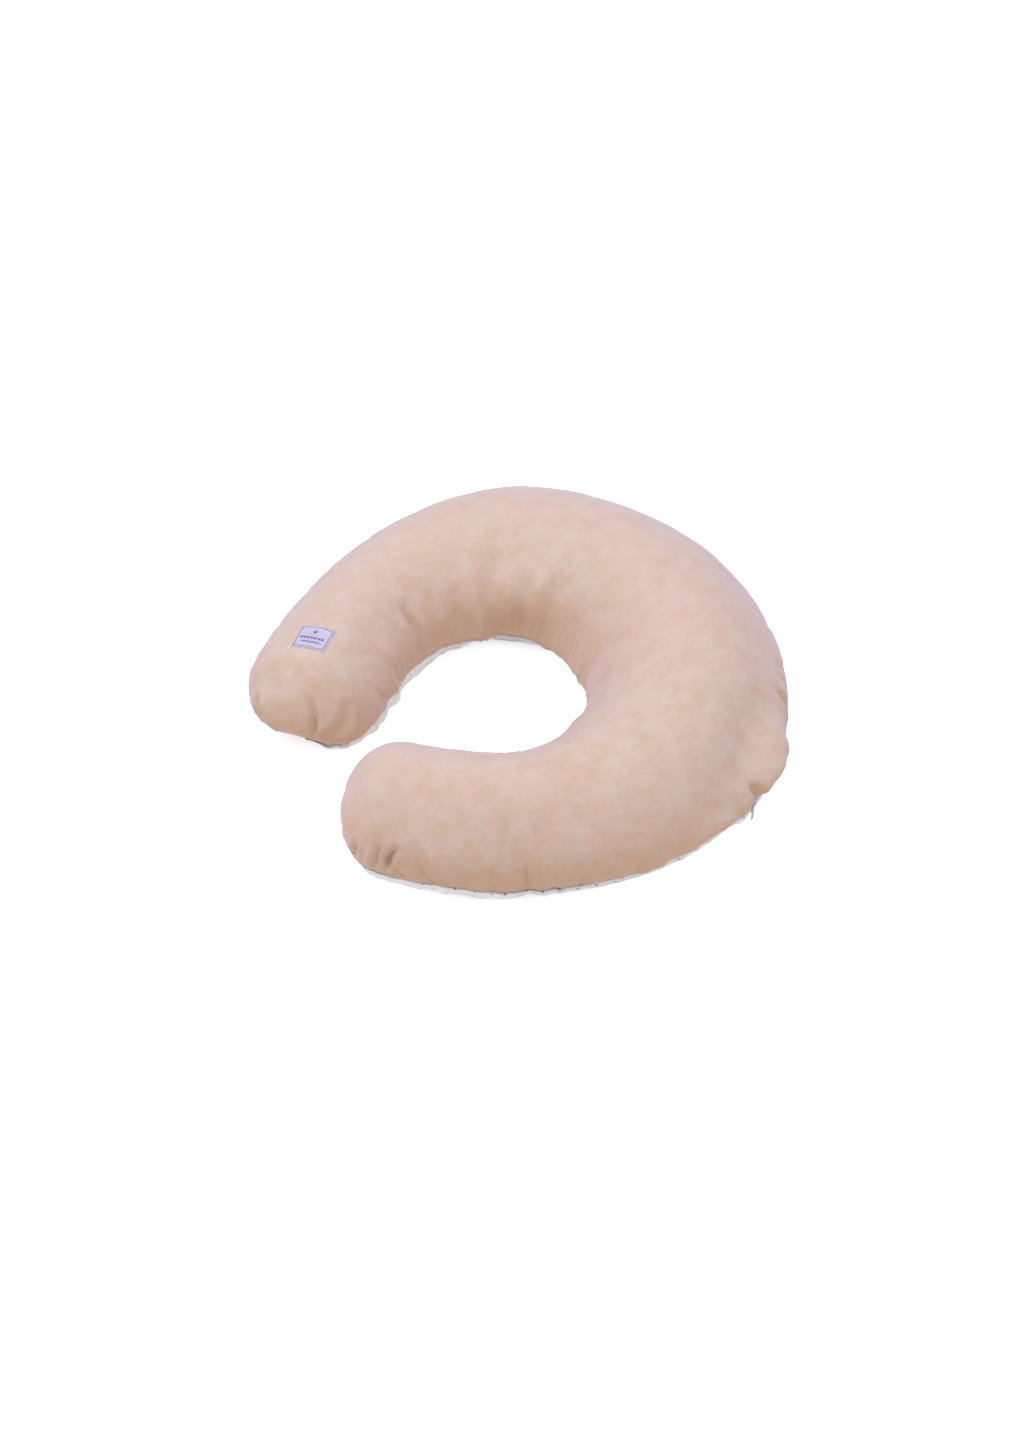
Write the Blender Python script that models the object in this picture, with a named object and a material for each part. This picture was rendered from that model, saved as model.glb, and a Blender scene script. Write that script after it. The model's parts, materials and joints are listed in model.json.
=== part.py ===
"""C-shaped nursing pillow: a zipped cover over a stuffed inner cushion.

Row frame in metres. The cushion lies flat with its underside on z = 0. +X is its width, +Y points to the
closed back, and the opening between the two horns faces -Y. The main seam runs level around the whole
cushion, and the zip sits in that seam along the back, on one circular arc.
"""

import math

import bpy
import numpy as np
from mathutils import Matrix, Vector

# Plan of the cushion, along the centreline of the tube from the middle of the back to a horn's tip
BACK_RADIUS = 0.183
BACK_ARC = math.radians(66.0)
ARC_CENTRE_Y = -0.0204
SIDE_RADIUS = 0.215
SIDE_END = 0.377
FLARE_RADIUS = 0.385
HALF_LENGTH = 0.555
BACK_HALF_WIDTH = 0.106
SIDE_HALF_WIDTH = 0.080
TIP_HALF_WIDTH = 0.076
TIP_ROUND = 0.056
TIP_BLEND = 0.150
PATH_SAMPLES = 4000

# Cross-section: a domed top above the seam and a flattened underside below it
SEAM_HEIGHT = 0.034
BACK_RISE = 0.093
TIP_RISE = 0.072
TOP_POWER = 1.3
UNDER_POWER = 0.56
UNDER_SPREAD = 1.12
TIP_POWER = 0.9
SEAM_CLUSTER = 0.35
ACROSS_TOP = 14
ACROSS = 8

# Layers, as insets from the cover's outer surface
VELOUR = 0.0022
COTTON = 0.0012
CASING_INSET = 0.0080
CASING_UNDER_INSET = 0.0022
CASING_CLOTH = 0.0008
FILLING_INSET = 0.0118
FILLING_UNDER_INSET = 0.0046
SEAM_GAP = 0.00015
THREAD_INSET = 0.0032
THREAD = 0.0006

# Zip, in the seam of the back: angles from +Y, radii from the arc's centre, heights from the seam
SEAM_RADIUS = BACK_RADIUS + BACK_HALF_WIDTH
ZIP_HALF_ANGLE = math.radians(60.5)
SLOT_HALF_ANGLE = math.radians(61.8)
SLOT_END_ANGLE = math.radians(64.5)
SLOT_HALF_HEIGHT = 0.0043
ZIP_STEP = math.radians(3.0)
TAPE_RADIUS = SEAM_RADIUS - 0.0040
TAPE = 0.0006
TAPE_EDGE = 0.0006
TAPE_BEND = 0.0040
TAPE_REACH = 0.0120
TAPE_LEAN = 0.0021
COIL_THICK = 0.0014
COIL_HEIGHT = 0.0018
CLEAR = 0.0003
COIL_CHAMFER = 0.3 * COIL_THICK
TACK_ANGLE = math.radians(0.45)
TACK_START = ZIP_HALF_ANGLE + 0.35 * TACK_ANGLE
TAPE_END = ZIP_HALF_ANGLE + 1.6 * TACK_ANGLE
TAPE_THREAD_HEIGHT = 0.0085
TAPE_THREAD = (0.00036, 0.0004)

# Slider and pull, in the slider's own directions: along the zip, up, and out
SLIDER_ANGLE = math.radians(59.4)
SLIDER_LENGTH = 0.0086
SLIDER_WIDTH = 0.0070
SLIDER_TAIL_WIDTH = 0.0062
SLIDER_CORNER = 0.16 * SLIDER_LENGTH
FRONT_FLAT = 0.55
TAIL_FLAT = 0.6
BACK_PLATE_SHARE = 0.94
PLATE = 0.0010
BACK_PLATE = 0.0008
FLANGE_EDGE = 0.985
FLANGE_REACH = 0.30 * SLIDER_LENGTH
DIVIDER_SETBACK = 0.0004
DIVIDER_LENGTH = 0.0026
DIVIDER = 0.0005
BAR_RADIUS = 0.00045
BAR_BEND = 1.4 * BAR_RADIUS
BAR_STAND_OFF = 0.0018
BAIL_SPAN = 0.0056
EYE_INNER = 0.00078
EYE_OUTER = 0.00135
EYE_LENGTH = 0.0034
PULL_LENGTH = 0.0210
PULL_NECK_WIDTH = 0.0030
PULL_NECK_LENGTH = 0.0040
PULL_SHOULDER = 0.0022
PULL_OVERLAP = 0.0003
PULL_WIDTH = 0.0042
PULL_THICK = 0.0008
PULL_HOLE = 0.0010
PULL_HOLE_INSET = 0.0036
ROUND_SIDES = 16
END_SIDES = 8

# Woven label on the -X horn, and the care label inside the cover
LABEL_ALONG = (0.4695, 0.5015)
LABEL_ACROSS = (math.radians(69.0), math.radians(98.0))
LABEL_LIFT = 0.0004
LABEL_THICK = 0.0005
LABEL_STEPS = 6
LABEL_HEM = 0.08
CARE_ALONG = (0.222, 0.247)
CARE_ACROSS = (math.radians(12.0), math.radians(30.0))
CARE_INSET = 0.0048
CARE_THICK = 0.0004

# Hand-closed opening in the inner casing, in the middle of its back seam
CLOSING_HALF_ANGLE = math.radians(15.0)
CLOSING_GAP_ANGLE = math.radians(1.0)


def smooth(x):
    """A 0 to 1 step with level ends."""
    x = np.clip(x, 0.0, 1.0)
    return x * x * (3.0 - 2.0 * x)


def curvature(s):
    """Curvature of the centreline: even round the back, gentler at the sides, reversed at the tips."""
    back, side, flare = 1.0 / BACK_RADIUS, 1.0 / SIDE_RADIUS, -1.0 / FLARE_RADIUS
    start = BACK_ARC * BACK_RADIUS
    first = smooth((s - start) / (SIDE_END - start))
    second = smooth((s - SIDE_END) / (HALF_LENGTH - SIDE_END))
    return back + (side - back) * first + (flare - side) * second


def centreline():
    """Samples of the +X half of the centreline: length, x, y and heading."""
    s = np.linspace(0.0, HALF_LENGTH, PATH_SAMPLES)
    k = curvature(s)
    step = np.diff(s)
    heading = np.concatenate([[0.0], np.cumsum((k[1:] + k[:-1]) / 2.0 * step)])
    middle = (heading[1:] + heading[:-1]) / 2.0
    x = np.concatenate([[0.0], np.cumsum(np.cos(middle) * step)])
    drop = np.concatenate([[0.0], np.cumsum(np.sin(middle) * step)])
    return s, x, ARC_CENTRE_Y + BACK_RADIUS - drop, heading


PATH = centreline()


def half_width(s):
    start = BACK_ARC * BACK_RADIUS
    first = smooth((s - start) / (SIDE_END - start))
    second = smooth((s - SIDE_END) / (HALF_LENGTH - SIDE_END))
    narrowing = (SIDE_HALF_WIDTH - BACK_HALF_WIDTH) * first
    return BACK_HALF_WIDTH + narrowing + (TIP_HALF_WIDTH - SIDE_HALF_WIDTH) * second


def rise(s):
    return BACK_RISE + (TIP_RISE - BACK_RISE) * smooth(s / HALF_LENGTH)


def tip_factor(s):
    """1 along the tube, falling to 0 on an ellipse at the horn's tip."""
    c = np.clip((s - (HALF_LENGTH - TIP_ROUND)) / TIP_ROUND, 0.0, 1.0)
    return np.sqrt(np.maximum(1.0 - c * c, 0.0))


def skin(s, phi, inset, under_inset):
    """Points of a layer: s along the tube (negative on -X), phi round it from the outer seam over the top."""
    s, phi = np.broadcast_arrays(np.asarray(s, float), np.asarray(phi, float))
    side = np.where(s < 0.0, -1.0, 1.0)
    a = np.abs(s)
    along = a - inset * smooth((a - (HALF_LENGTH - TIP_BLEND)) / TIP_BLEND)
    x = np.interp(along, PATH[0], PATH[1])
    y = np.interp(along, PATH[0], PATH[2])
    heading = np.interp(along, PATH[0], PATH[3])
    cap = tip_factor(a)
    out = (half_width(a) - inset) * cap * np.cos(phi)
    sine = np.abs(np.sin(phi))
    above = (rise(a) - inset) * cap**TIP_POWER * sine**TOP_POWER
    depth = np.minimum(1.0, UNDER_SPREAD * sine**UNDER_POWER)
    below = -(SEAM_HEIGHT - under_inset) * cap**TIP_POWER * depth
    z = SEAM_HEIGHT + np.where(np.sin(phi) >= 0.0, above, below)
    return np.stack([side * (x + out * np.sin(heading)), y + out * np.cos(heading), z], axis=-1)


def stations(fine):
    """Lengths along the tube where a layer is cut: finer for the cover, which must follow the zip's arc."""
    zipped = np.linspace(0.0, SLOT_HALF_ANGLE * BACK_RADIUS, 15 if fine else 8)
    horn_start = SLOT_END_ANGLE * BACK_RADIUS
    horn = np.linspace(horn_start, HALF_LENGTH - TIP_ROUND, 12 if fine else 9)
    turns = np.radians([24.0, 44.0, 60.0, 73.0, 83.0] if fine else [30.0, 53.0, 70.0, 82.0])
    cap = HALF_LENGTH - TIP_ROUND + TIP_ROUND * np.sin(turns)
    half = np.concatenate([zipped[1:], horn, cap])
    return np.concatenate([-half[::-1], [0.0], half])


def slot(s):
    """Half height of the gap between the two cover panels at the outer seam."""
    angle = np.abs(s) / BACK_RADIUS
    closing = smooth((angle - SLOT_HALF_ANGLE) / (SLOT_END_ANGLE - SLOT_HALF_ANGLE))
    return SLOT_HALF_HEIGHT + (SEAM_GAP - SLOT_HALF_HEIGHT) * closing


def no_slot(s):
    return np.full_like(s, SEAM_GAP)


def rim_angle(s, gap, over, inset, under_inset):
    """How far round the section a panel's rim starts, so that it stands off the seam by the gap."""
    cap = tip_factor(np.abs(s)) ** TIP_POWER
    if over:
        return np.arcsin((gap / ((rise(np.abs(s)) - inset) * cap)) ** (1.0 / TOP_POWER))
    depth = (SEAM_HEIGHT - under_inset) * cap * UNDER_SPREAD
    return np.arcsin((gap / depth) ** (1.0 / UNDER_POWER))


def sheet_grid(over, inset, under_inset, outer_gap, fine, across):
    """Grid of one face of a panel, over or under the seam, and its two tip points."""
    s = stations(fine)
    first = rim_angle(s, outer_gap(s), over, inset, under_inset)[:, None]
    last = rim_angle(s, no_slot(s), over, inset, under_inset)[:, None]
    t = np.linspace(0.0, 1.0, across + 1)
    t = (t - SEAM_CLUSTER * np.sin(2.0 * math.pi * t) / math.pi)[None, :]
    phi = first + (math.pi - first - last) * t
    grid = skin(s[:, None], phi if over else -phi, inset, under_inset)
    tips = skin(np.array([-HALF_LENGTH, HALF_LENGTH]), 0.0, inset, under_inset)
    tips[:, 2] += SEAM_GAP if over else -SEAM_GAP
    return grid, tips


def remove_everything():
    for item in list(bpy.data.objects):
        bpy.data.objects.remove(item, do_unlink=True)


def linear(channel):
    channel /= 255.0
    return channel / 12.92 if channel <= 0.04045 else ((channel + 0.055) / 1.055) ** 2.4


def material(name, colour, roughness, metallic=0.0):
    """A Principled material from an 8-bit sRGB colour."""
    made = bpy.data.materials.new(name)
    made.use_nodes = True
    shader = made.node_tree.nodes["Principled BSDF"]
    rgba = [linear(c) for c in colour] + [1.0]
    shader.inputs["Base Color"].default_value = rgba
    shader.inputs["Roughness"].default_value = roughness
    shader.inputs["Metallic"].default_value = metallic
    made.diffuse_color = rgba
    return made


def mesh_object(name, points, faces, look, rounded=True):
    """One named object from points in the row frame, with its faces turned outwards."""
    mesh = bpy.data.meshes.new(name)
    mesh.from_pydata([tuple(float(c) for c in p) for p in points], [], faces)
    made = bpy.data.objects.new(name, mesh)
    bpy.context.scene.collection.objects.link(made)
    if look is not None:
        mesh.materials.append(look)
    face_outwards(mesh)
    if rounded:
        mesh.shade_smooth()
    return made


def face_outwards(mesh):
    """Turn the faces of a consistently wound closed mesh outwards, by the sign of its volume."""
    volume = 0.0
    for polygon in mesh.polygons:
        corners = [mesh.vertices[i].co for i in polygon.vertices]
        for k in range(1, len(corners) - 1):
            volume += corners[0].dot(corners[k].cross(corners[k + 1]))
    if volume < 0.0:
        mesh.flip_normals()


def place_origin(made, point):
    """Move an object's origin without moving its surface."""
    made.data.transform(Matrix.Translation(-Vector(point)))
    made.location = point


def disc_faces(rows, columns, start, first_tip, last_tip, flip):
    """Faces of a grid closed by a fan at each tip; the grid's points begin at start."""
    faces = []
    for i in range(rows - 1):
        for j in range(columns - 1):
            a = start + i * columns + j
            faces.append((a, a + columns, a + columns + 1, a + 1))
    for j in range(columns - 1):
        a = start + j
        b = start + (rows - 1) * columns + j
        faces.append((first_tip, a, a + 1))
        faces.append((b, last_tip, b + 1))
    return [tuple(reversed(f)) for f in faces] if flip else faces


def rim_loop(rows, columns, start, first_tip, last_tip):
    outer = [start + i * columns for i in range(rows)]
    inner = [start + i * columns + columns - 1 for i in range(rows)]
    return [first_tip] + outer + [last_tip] + inner[::-1]


def panel(name, look, over, insets, under_insets, outer_gap, fine, across):
    """A cloth panel: two nested faces joined by a flat rim along the seam."""
    outside, outside_tips = sheet_grid(over, insets[0], under_insets[0], outer_gap, fine, across)
    inside, inside_tips = sheet_grid(over, insets[1], under_insets[1], outer_gap, fine, across)
    rows, columns = outside.shape[:2]
    count = rows * columns
    points = np.concatenate([outside.reshape(-1, 3), inside.reshape(-1, 3), outside_tips, inside_tips])
    tips = [2 * count + i for i in range(4)]
    faces = disc_faces(rows, columns, 0, tips[0], tips[1], False)
    faces += disc_faces(rows, columns, count, tips[2], tips[3], True)
    outer_rim = rim_loop(rows, columns, 0, tips[0], tips[1])
    inner_rim = rim_loop(rows, columns, count, tips[2], tips[3])
    for i in range(len(outer_rim)):
        k = (i + 1) % len(outer_rim)
        faces.append((outer_rim[k], outer_rim[i], inner_rim[i], inner_rim[k]))
    return mesh_object(name, points, faces, look)


def stuffed_body(name, look, inset, under_inset):
    """A closed solid filling the whole tube inside the casing."""
    s = stations(False)
    t = np.linspace(0.0, 1.0, ACROSS + 1)
    phi = math.pi * (t - SEAM_CLUSTER * np.sin(2.0 * math.pi * t) / math.pi)
    phi = np.concatenate([phi, math.pi + phi[1:-1]])
    grid = skin(s[:, None], phi[None, :], inset, under_inset)
    rows, columns = grid.shape[:2]
    tips = skin(np.array([-HALF_LENGTH, HALF_LENGTH]), 0.0, inset, under_inset)
    points = np.concatenate([grid.reshape(-1, 3), tips])
    first, last = rows * columns, rows * columns + 1
    faces = []
    for j in range(columns):
        k = (j + 1) % columns
        for i in range(rows - 1):
            faces.append((i * columns + j, (i + 1) * columns + j, (i + 1) * columns + k, i * columns + k))
        end = (rows - 1) * columns
        faces.append((first, j, k))
        faces.append((end + j, last, end + k))
    return mesh_object(name, points, faces, look)


def swept(name, look, rings, closed=False, rounded=True):
    """A rod from a list of equal rings of points; it closes on itself or gets flat ends."""
    rings = np.asarray(rings)
    count, sides = rings.shape[:2]
    faces = []
    for i in range(count if closed else count - 1):
        n = (i + 1) % count
        for j in range(sides):
            k = (j + 1) % sides
            faces.append((i * sides + j, n * sides + j, n * sides + k, i * sides + k))
    if not closed:
        faces.append(tuple(range(sides)))
        faces.append(tuple((count - 1) * sides + j for j in range(sides - 1, -1, -1)))
    return mesh_object(name, rings.reshape(-1, 3), faces, look, rounded)


def level_rod(name, look, path, thick, closed=False):
    """A square thread that follows a level path."""
    path = np.asarray(path)
    if closed:
        ahead = np.roll(path, -1, axis=0)
        behind = np.roll(path, 1, axis=0)
    else:
        ahead = np.vstack([path[1:], path[-1:]])
        behind = np.vstack([path[:1], path[:-1]])
    along = ahead - behind
    along /= np.linalg.norm(along, axis=1)[:, None]
    across = np.stack([along[:, 1], -along[:, 0], np.zeros(len(path))], axis=1) * thick / 2.0
    up = np.array([0.0, 0.0, thick / 2.0])
    rings = np.stack([path - across - up, path + across - up, path + across + up, path - across + up], axis=1)
    return swept(name, look, rings, closed, rounded=False)


def seam_path(start_angle, inset, fine):
    """The seam line at an inset, from start_angle on the +X side round both horns to the -X side."""
    s = stations(fine)
    half = s[s > start_angle * BACK_RADIUS]
    outer = np.concatenate([[start_angle * BACK_RADIUS], half])
    right_out = skin(outer, 0.0, inset, inset)
    right_tip = skin(np.array([HALF_LENGTH]), 0.0, inset, inset)
    inner = skin(s[::-1], math.pi, inset, inset)
    left_tip = skin(np.array([-HALF_LENGTH]), 0.0, inset, inset)
    left_out = skin(-outer[::-1], 0.0, inset, inset)
    return np.concatenate([right_out, right_tip, inner, left_tip, left_out])


def arc_point(angle, radius, height):
    """A point by angle from +Y, radius from the back arc's centre and height from the seam."""
    return np.array([radius * math.sin(angle), ARC_CENTRE_Y + radius * math.cos(angle), SEAM_HEIGHT + height])


def arc_strip(name, look, profile, start, end, step):
    """A profile of (radius, height) corners swept along the back arc."""
    count = max(2, round((end - start) / step) + 1)
    rings = [[arc_point(a, r, h) for r, h in profile] for a in np.linspace(start, end, count)]
    return swept(name, look, rings, rounded=False)


def zip_tape(name, look, up):
    """A woven tape: upright beside the coil, then leaning in behind its cover panel."""
    half = TAPE / 2.0
    corners = [
        (TAPE_RADIUS - half, TAPE_EDGE),
        (TAPE_RADIUS + half, TAPE_EDGE),
        (TAPE_RADIUS + half, TAPE_BEND),
        (TAPE_RADIUS + half - TAPE_LEAN, TAPE_REACH),
        (TAPE_RADIUS - half - TAPE_LEAN, TAPE_REACH),
        (TAPE_RADIUS - half, TAPE_BEND),
    ]
    profile = [(r, h if up else -h) for r, h in corners]
    return arc_strip(name, look, profile, -TAPE_END, TAPE_END, ZIP_STEP)


def zip_coil(name, look, up):
    """One row of the coil, on the tape's outer face and along its edge."""
    low = TAPE_RADIUS + TAPE / 2.0 + CLEAR
    corners = [
        (low, TAPE_EDGE),
        (low + COIL_THICK - COIL_CHAMFER, TAPE_EDGE),
        (low + COIL_THICK, TAPE_EDGE + COIL_CHAMFER),
        (low + COIL_THICK, TAPE_EDGE + COIL_HEIGHT - COIL_CHAMFER),
        (low + COIL_THICK - COIL_CHAMFER, TAPE_EDGE + COIL_HEIGHT),
        (low, TAPE_EDGE + COIL_HEIGHT),
    ]
    profile = [(r, h if up else -h) for r, h in corners]
    return arc_strip(name, look, profile, -ZIP_HALF_ANGLE, ZIP_HALF_ANGLE, ZIP_STEP)


def zip_stitch(name, look, up):
    """The thread that holds a tape to its cover panel, between the two."""
    lean = TAPE_LEAN * (TAPE_THREAD_HEIGHT - TAPE_BEND) / (TAPE_REACH - TAPE_BEND)
    low = TAPE_RADIUS + TAPE / 2.0 - lean + CLEAR
    thick, half = TAPE_THREAD[0], TAPE_THREAD[1] / 2.0
    corners = [
        (low, TAPE_THREAD_HEIGHT - half),
        (low + thick, TAPE_THREAD_HEIGHT - half),
        (low + thick, TAPE_THREAD_HEIGHT + half),
        (low, TAPE_THREAD_HEIGHT + half),
    ]
    profile = [(r, h if up else -h) for r, h in corners]
    return arc_strip(name, look, profile, -ZIP_HALF_ANGLE, ZIP_HALF_ANGLE, ZIP_STEP)


def zip_tack(name, look, side):
    """The bar tack of thread that closes one end of the zip."""
    low = TAPE_RADIUS + TAPE / 2.0 + CLEAR
    high = TAPE_EDGE + COIL_HEIGHT
    profile = [(low, -high), (low + COIL_THICK, -high), (low + COIL_THICK, high), (low, high)]
    ends = sorted([side * TACK_START, side * (TACK_START + TACK_ANGLE)])
    return arc_strip(name, look, profile, ends[0], ends[1], ZIP_STEP)


def slider_place(along, up, radius):
    """A point by distance along the zip, height from the seam and radius, at the slider's resting angle."""
    out = np.array([math.sin(SLIDER_ANGLE), math.cos(SLIDER_ANGLE), 0.0])
    tangent = np.array([math.cos(SLIDER_ANGLE), -math.sin(SLIDER_ANGLE), 0.0])
    centre = np.array([0.0, ARC_CENTRE_Y, SEAM_HEIGHT + up])
    return centre + out * radius + tangent * along


def slider_prism(name, outline, low, high):
    """An (along, up) outline made solid between two radii."""
    rings = [[slider_place(a, u, r) for a, u in outline] for r in (low, high)]
    return swept(name, None, rings, rounded=False)


def slider_outline(front_half, tail_half):
    """The slider's shield outline: wide shoulders in front, a narrower tail, cut corners."""
    half = SLIDER_LENGTH / 2.0
    return [
        (half, -front_half * FRONT_FLAT),
        (half, front_half * FRONT_FLAT),
        (half - SLIDER_CORNER, front_half),
        (0.0, front_half),
        (-half + SLIDER_CORNER, tail_half),
        (-half, tail_half * TAIL_FLAT),
        (-half, -tail_half * TAIL_FLAT),
        (-half + SLIDER_CORNER, -tail_half),
        (0.0, -front_half),
        (half - SLIDER_CORNER, -front_half),
    ]


def bail():
    """The straight bar the pull turns on, with a leg at each end standing on the outer plate."""
    foot = slider_top() - PLATE / 2.0
    bar = slider_top() + BAR_STAND_OFF
    half = BAIL_SPAN / 2.0
    spine = [
        (-half - BAR_BEND, foot),
        (-half - BAR_BEND, bar - BAR_BEND),
        (-half, bar),
        (half, bar),
        (half + BAR_BEND, bar - BAR_BEND),
        (half + BAR_BEND, foot),
    ]
    rings = []
    for i, (a, r) in enumerate(spine):
        before = spine[max(i - 1, 0)]
        after = spine[min(i + 1, len(spine) - 1)]
        direction = np.array([after[0] - before[0], after[1] - before[1]])
        direction /= np.linalg.norm(direction)
        normal = np.array([-direction[1], direction[0]])
        ring = []
        for k in range(ROUND_SIDES):
            turn = 2.0 * math.pi * k / ROUND_SIDES
            offset = normal * BAR_RADIUS * math.cos(turn)
            ring.append(slider_place(a + offset[0], BAR_RADIUS * math.sin(turn), r + offset[1]))
        rings.append(ring)
    return swept("bail", None, rings)


def coil_face():
    return TAPE_RADIUS + TAPE / 2.0 + CLEAR + COIL_THICK


def slider_top():
    return coil_face() + CLEAR + PLATE


def bar_centre():
    return slider_top() + BAR_STAND_OFF


def merged(name, look, pieces, rounded):
    """One body from overlapping closed pieces."""
    base = pieces[0]
    for piece in pieces[1:]:
        union = base.modifiers.new("join", "BOOLEAN")
        union.operation = "UNION"
        union.solver = "EXACT"
        union.object = piece
    graph = bpy.context.evaluated_depsgraph_get()
    mesh = bpy.data.meshes.new_from_object(base.evaluated_get(graph))
    for piece in pieces:
        bpy.data.objects.remove(piece, do_unlink=True)
    mesh.name = name
    mesh.materials.clear()
    mesh.materials.append(look)
    made = bpy.data.objects.new(name, mesh)
    bpy.context.scene.collection.objects.link(made)
    if rounded:
        mesh.shade_smooth()
    return made


def zip_slider(look):
    """Two plates around the coil, tied by a divider, with edge flanges and a bail for the pull."""
    inner_high = TAPE_RADIUS - TAPE / 2.0 - CLEAR
    outer_low = coil_face() + CLEAR
    flange_low = TAPE_RADIUS + TAPE / 2.0 + CLEAR
    flange_in = TAPE_EDGE + COIL_HEIGHT + CLEAR
    wide, tail = SLIDER_WIDTH / 2.0, SLIDER_TAIL_WIDTH / 2.0
    outer = slider_outline(wide, wide)
    inner = slider_outline(wide * BACK_PLATE_SHARE, tail)
    front = SLIDER_LENGTH / 2.0 - DIVIDER_SETBACK
    wedge = [(front, -DIVIDER / 2.0), (front, DIVIDER / 2.0), (front - DIVIDER_LENGTH, DIVIDER / 4.0)]
    wedge.append((front - DIVIDER_LENGTH, -DIVIDER / 4.0))
    pieces = [slider_prism("outer_plate", outer, outer_low, outer_low + PLATE)]
    pieces.append(slider_prism("inner_plate", inner, inner_high - BACK_PLATE, inner_high))
    pieces.append(slider_prism("divider", wedge, inner_high - BACK_PLATE / 2.0, outer_low + PLATE / 2.0))
    flange_out = wide * FLANGE_EDGE
    for side in (-1.0, 1.0):
        flange = [(-FLANGE_REACH, side * flange_in), (-FLANGE_REACH, side * flange_out)]
        flange += [(FLANGE_REACH, side * flange_out), (FLANGE_REACH, side * flange_in)]
        pieces.append(slider_prism("flange", flange, flange_low, outer_low + PLATE / 2.0))
    pieces.append(bail())
    made = merged("zip_slider_body", look, pieces, False)
    place_origin(made, (0.0, ARC_CENTRE_Y, SEAM_HEIGHT))
    return made


def eye(radius, length):
    """A cylinder on the bail's bar."""
    rings = []
    for along in (-length / 2.0, length / 2.0):
        ring = []
        for k in range(ROUND_SIDES):
            turn = 2.0 * math.pi * k / ROUND_SIDES
            ring.append(slider_place(along, radius * math.sin(turn), bar_centre() + radius * math.cos(turn)))
        rings.append(ring)
    return swept("eye", None, rings)


def pull_blade():
    """The flat blade that hangs from the eye, with a narrow neck and a rounded end."""
    neck, wide = PULL_NECK_WIDTH / 2.0, PULL_WIDTH / 2.0
    top = -EYE_OUTER + PULL_OVERLAP
    shoulder = top - PULL_NECK_LENGTH
    end = -PULL_LENGTH
    outline = [(-neck, top), (neck, top), (neck, shoulder), (wide, shoulder - PULL_SHOULDER)]
    for k in range(END_SIDES + 1):
        turn = math.pi * k / END_SIDES
        outline.append((wide * math.cos(turn), end + wide - wide * math.sin(turn)))
    outline.append((-wide, shoulder - PULL_SHOULDER))
    outline.append((-neck, shoulder))
    return slider_prism("blade", outline, bar_centre() - PULL_THICK / 2.0, bar_centre() + PULL_THICK / 2.0)


def cut_from(made, cutter):
    """Remove a cutter's volume from an object's mesh."""
    cut = made.modifiers.new("cut", "BOOLEAN")
    cut.operation = "DIFFERENCE"
    cut.solver = "EXACT"
    cut.object = cutter
    graph = bpy.context.evaluated_depsgraph_get()
    mesh = bpy.data.meshes.new_from_object(made.evaluated_get(graph))
    made.modifiers.clear()
    made.data = mesh
    bpy.data.objects.remove(cutter, do_unlink=True)


def zip_pull(look):
    """The pull: a rolled eye on the bail's bar and a blade with one hole near its end."""
    made = merged("zip_pull_tab", look, [eye(EYE_OUTER, EYE_LENGTH), pull_blade()], False)
    cut_from(made, eye(EYE_INNER, EYE_LENGTH * 1.5))
    hole = []
    for k in range(ROUND_SIDES):
        turn = 2.0 * math.pi * k / ROUND_SIDES
        hole.append((PULL_HOLE * math.cos(turn), PULL_HOLE * math.sin(turn) - PULL_LENGTH + PULL_HOLE_INSET))
    cut_from(made, slider_prism("hole", hole, bar_centre() - PULL_THICK, bar_centre() + PULL_THICK))
    place_origin(made, tuple(float(c) for c in slider_place(0.0, 0.0, bar_centre())))
    return made


def patch_points(along, across, inset, steps):
    """A grid of points on a layer of the -X horn, its lower edge towards the tip."""
    s = -np.linspace(along[0], along[1], steps + 1)
    phi = np.linspace(across[0], across[1], steps + 1)
    return skin(s[:, None], phi[None, :], inset, inset)


def cloth_patch(name, look, along, across, low_inset, high_inset):
    """A thin rectangle of cloth that lies along the tube's surface."""
    top = patch_points(along, across, high_inset, LABEL_STEPS)
    bottom = patch_points(along, across, low_inset, LABEL_STEPS)
    n = LABEL_STEPS + 1
    faces = []
    for i in range(LABEL_STEPS):
        for j in range(LABEL_STEPS):
            a = i * n + j
            faces.append((a, a + n, a + n + 1, a + 1))
            b = n * n + a
            faces.append((b + 1, b + n + 1, b + n, b))
    edge = list(range(n)) + [i * n + n - 1 for i in range(1, n)]
    edge += [(n - 1) * n + j for j in range(n - 2, -1, -1)] + [i * n for i in range(n - 2, 0, -1)]
    for i, a in enumerate(edge):
        b = edge[(i + 1) % len(edge)]
        faces.append((a, b, n * n + b, n * n + a))
    return mesh_object(name, np.concatenate([top.reshape(-1, 3), bottom.reshape(-1, 3)]), faces, look)


def label_thread(look):
    """The thread round the woven label, just inside its edges and standing on it."""
    along, across = LABEL_ALONG, LABEL_ACROSS
    shares = [LABEL_HEM, LABEL_HEM, 1.0 - LABEL_HEM, 1.0 - LABEL_HEM, LABEL_HEM]
    side = np.arange(4 * LABEL_STEPS) / LABEL_STEPS
    s = along[0] + (along[1] - along[0]) * np.interp(side, range(5), shares)
    phi = across[0] + (across[1] - across[0]) * np.interp(side + 1.0, range(6), shares + [LABEL_HEM])
    lift = LABEL_LIFT + LABEL_THICK + CLEAR
    low = skin(-s, phi, -lift, -lift)
    high = skin(-s, phi, -lift - THREAD, -lift - THREAD)
    centre = low.mean(axis=0)
    inward = centre - low
    inward /= np.linalg.norm(inward, axis=1)[:, None]
    inward *= THREAD
    rings = np.stack([low, low + inward, high + inward, high], axis=1)
    return swept("label_stitch", look, rings, closed=True, rounded=False)


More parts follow.
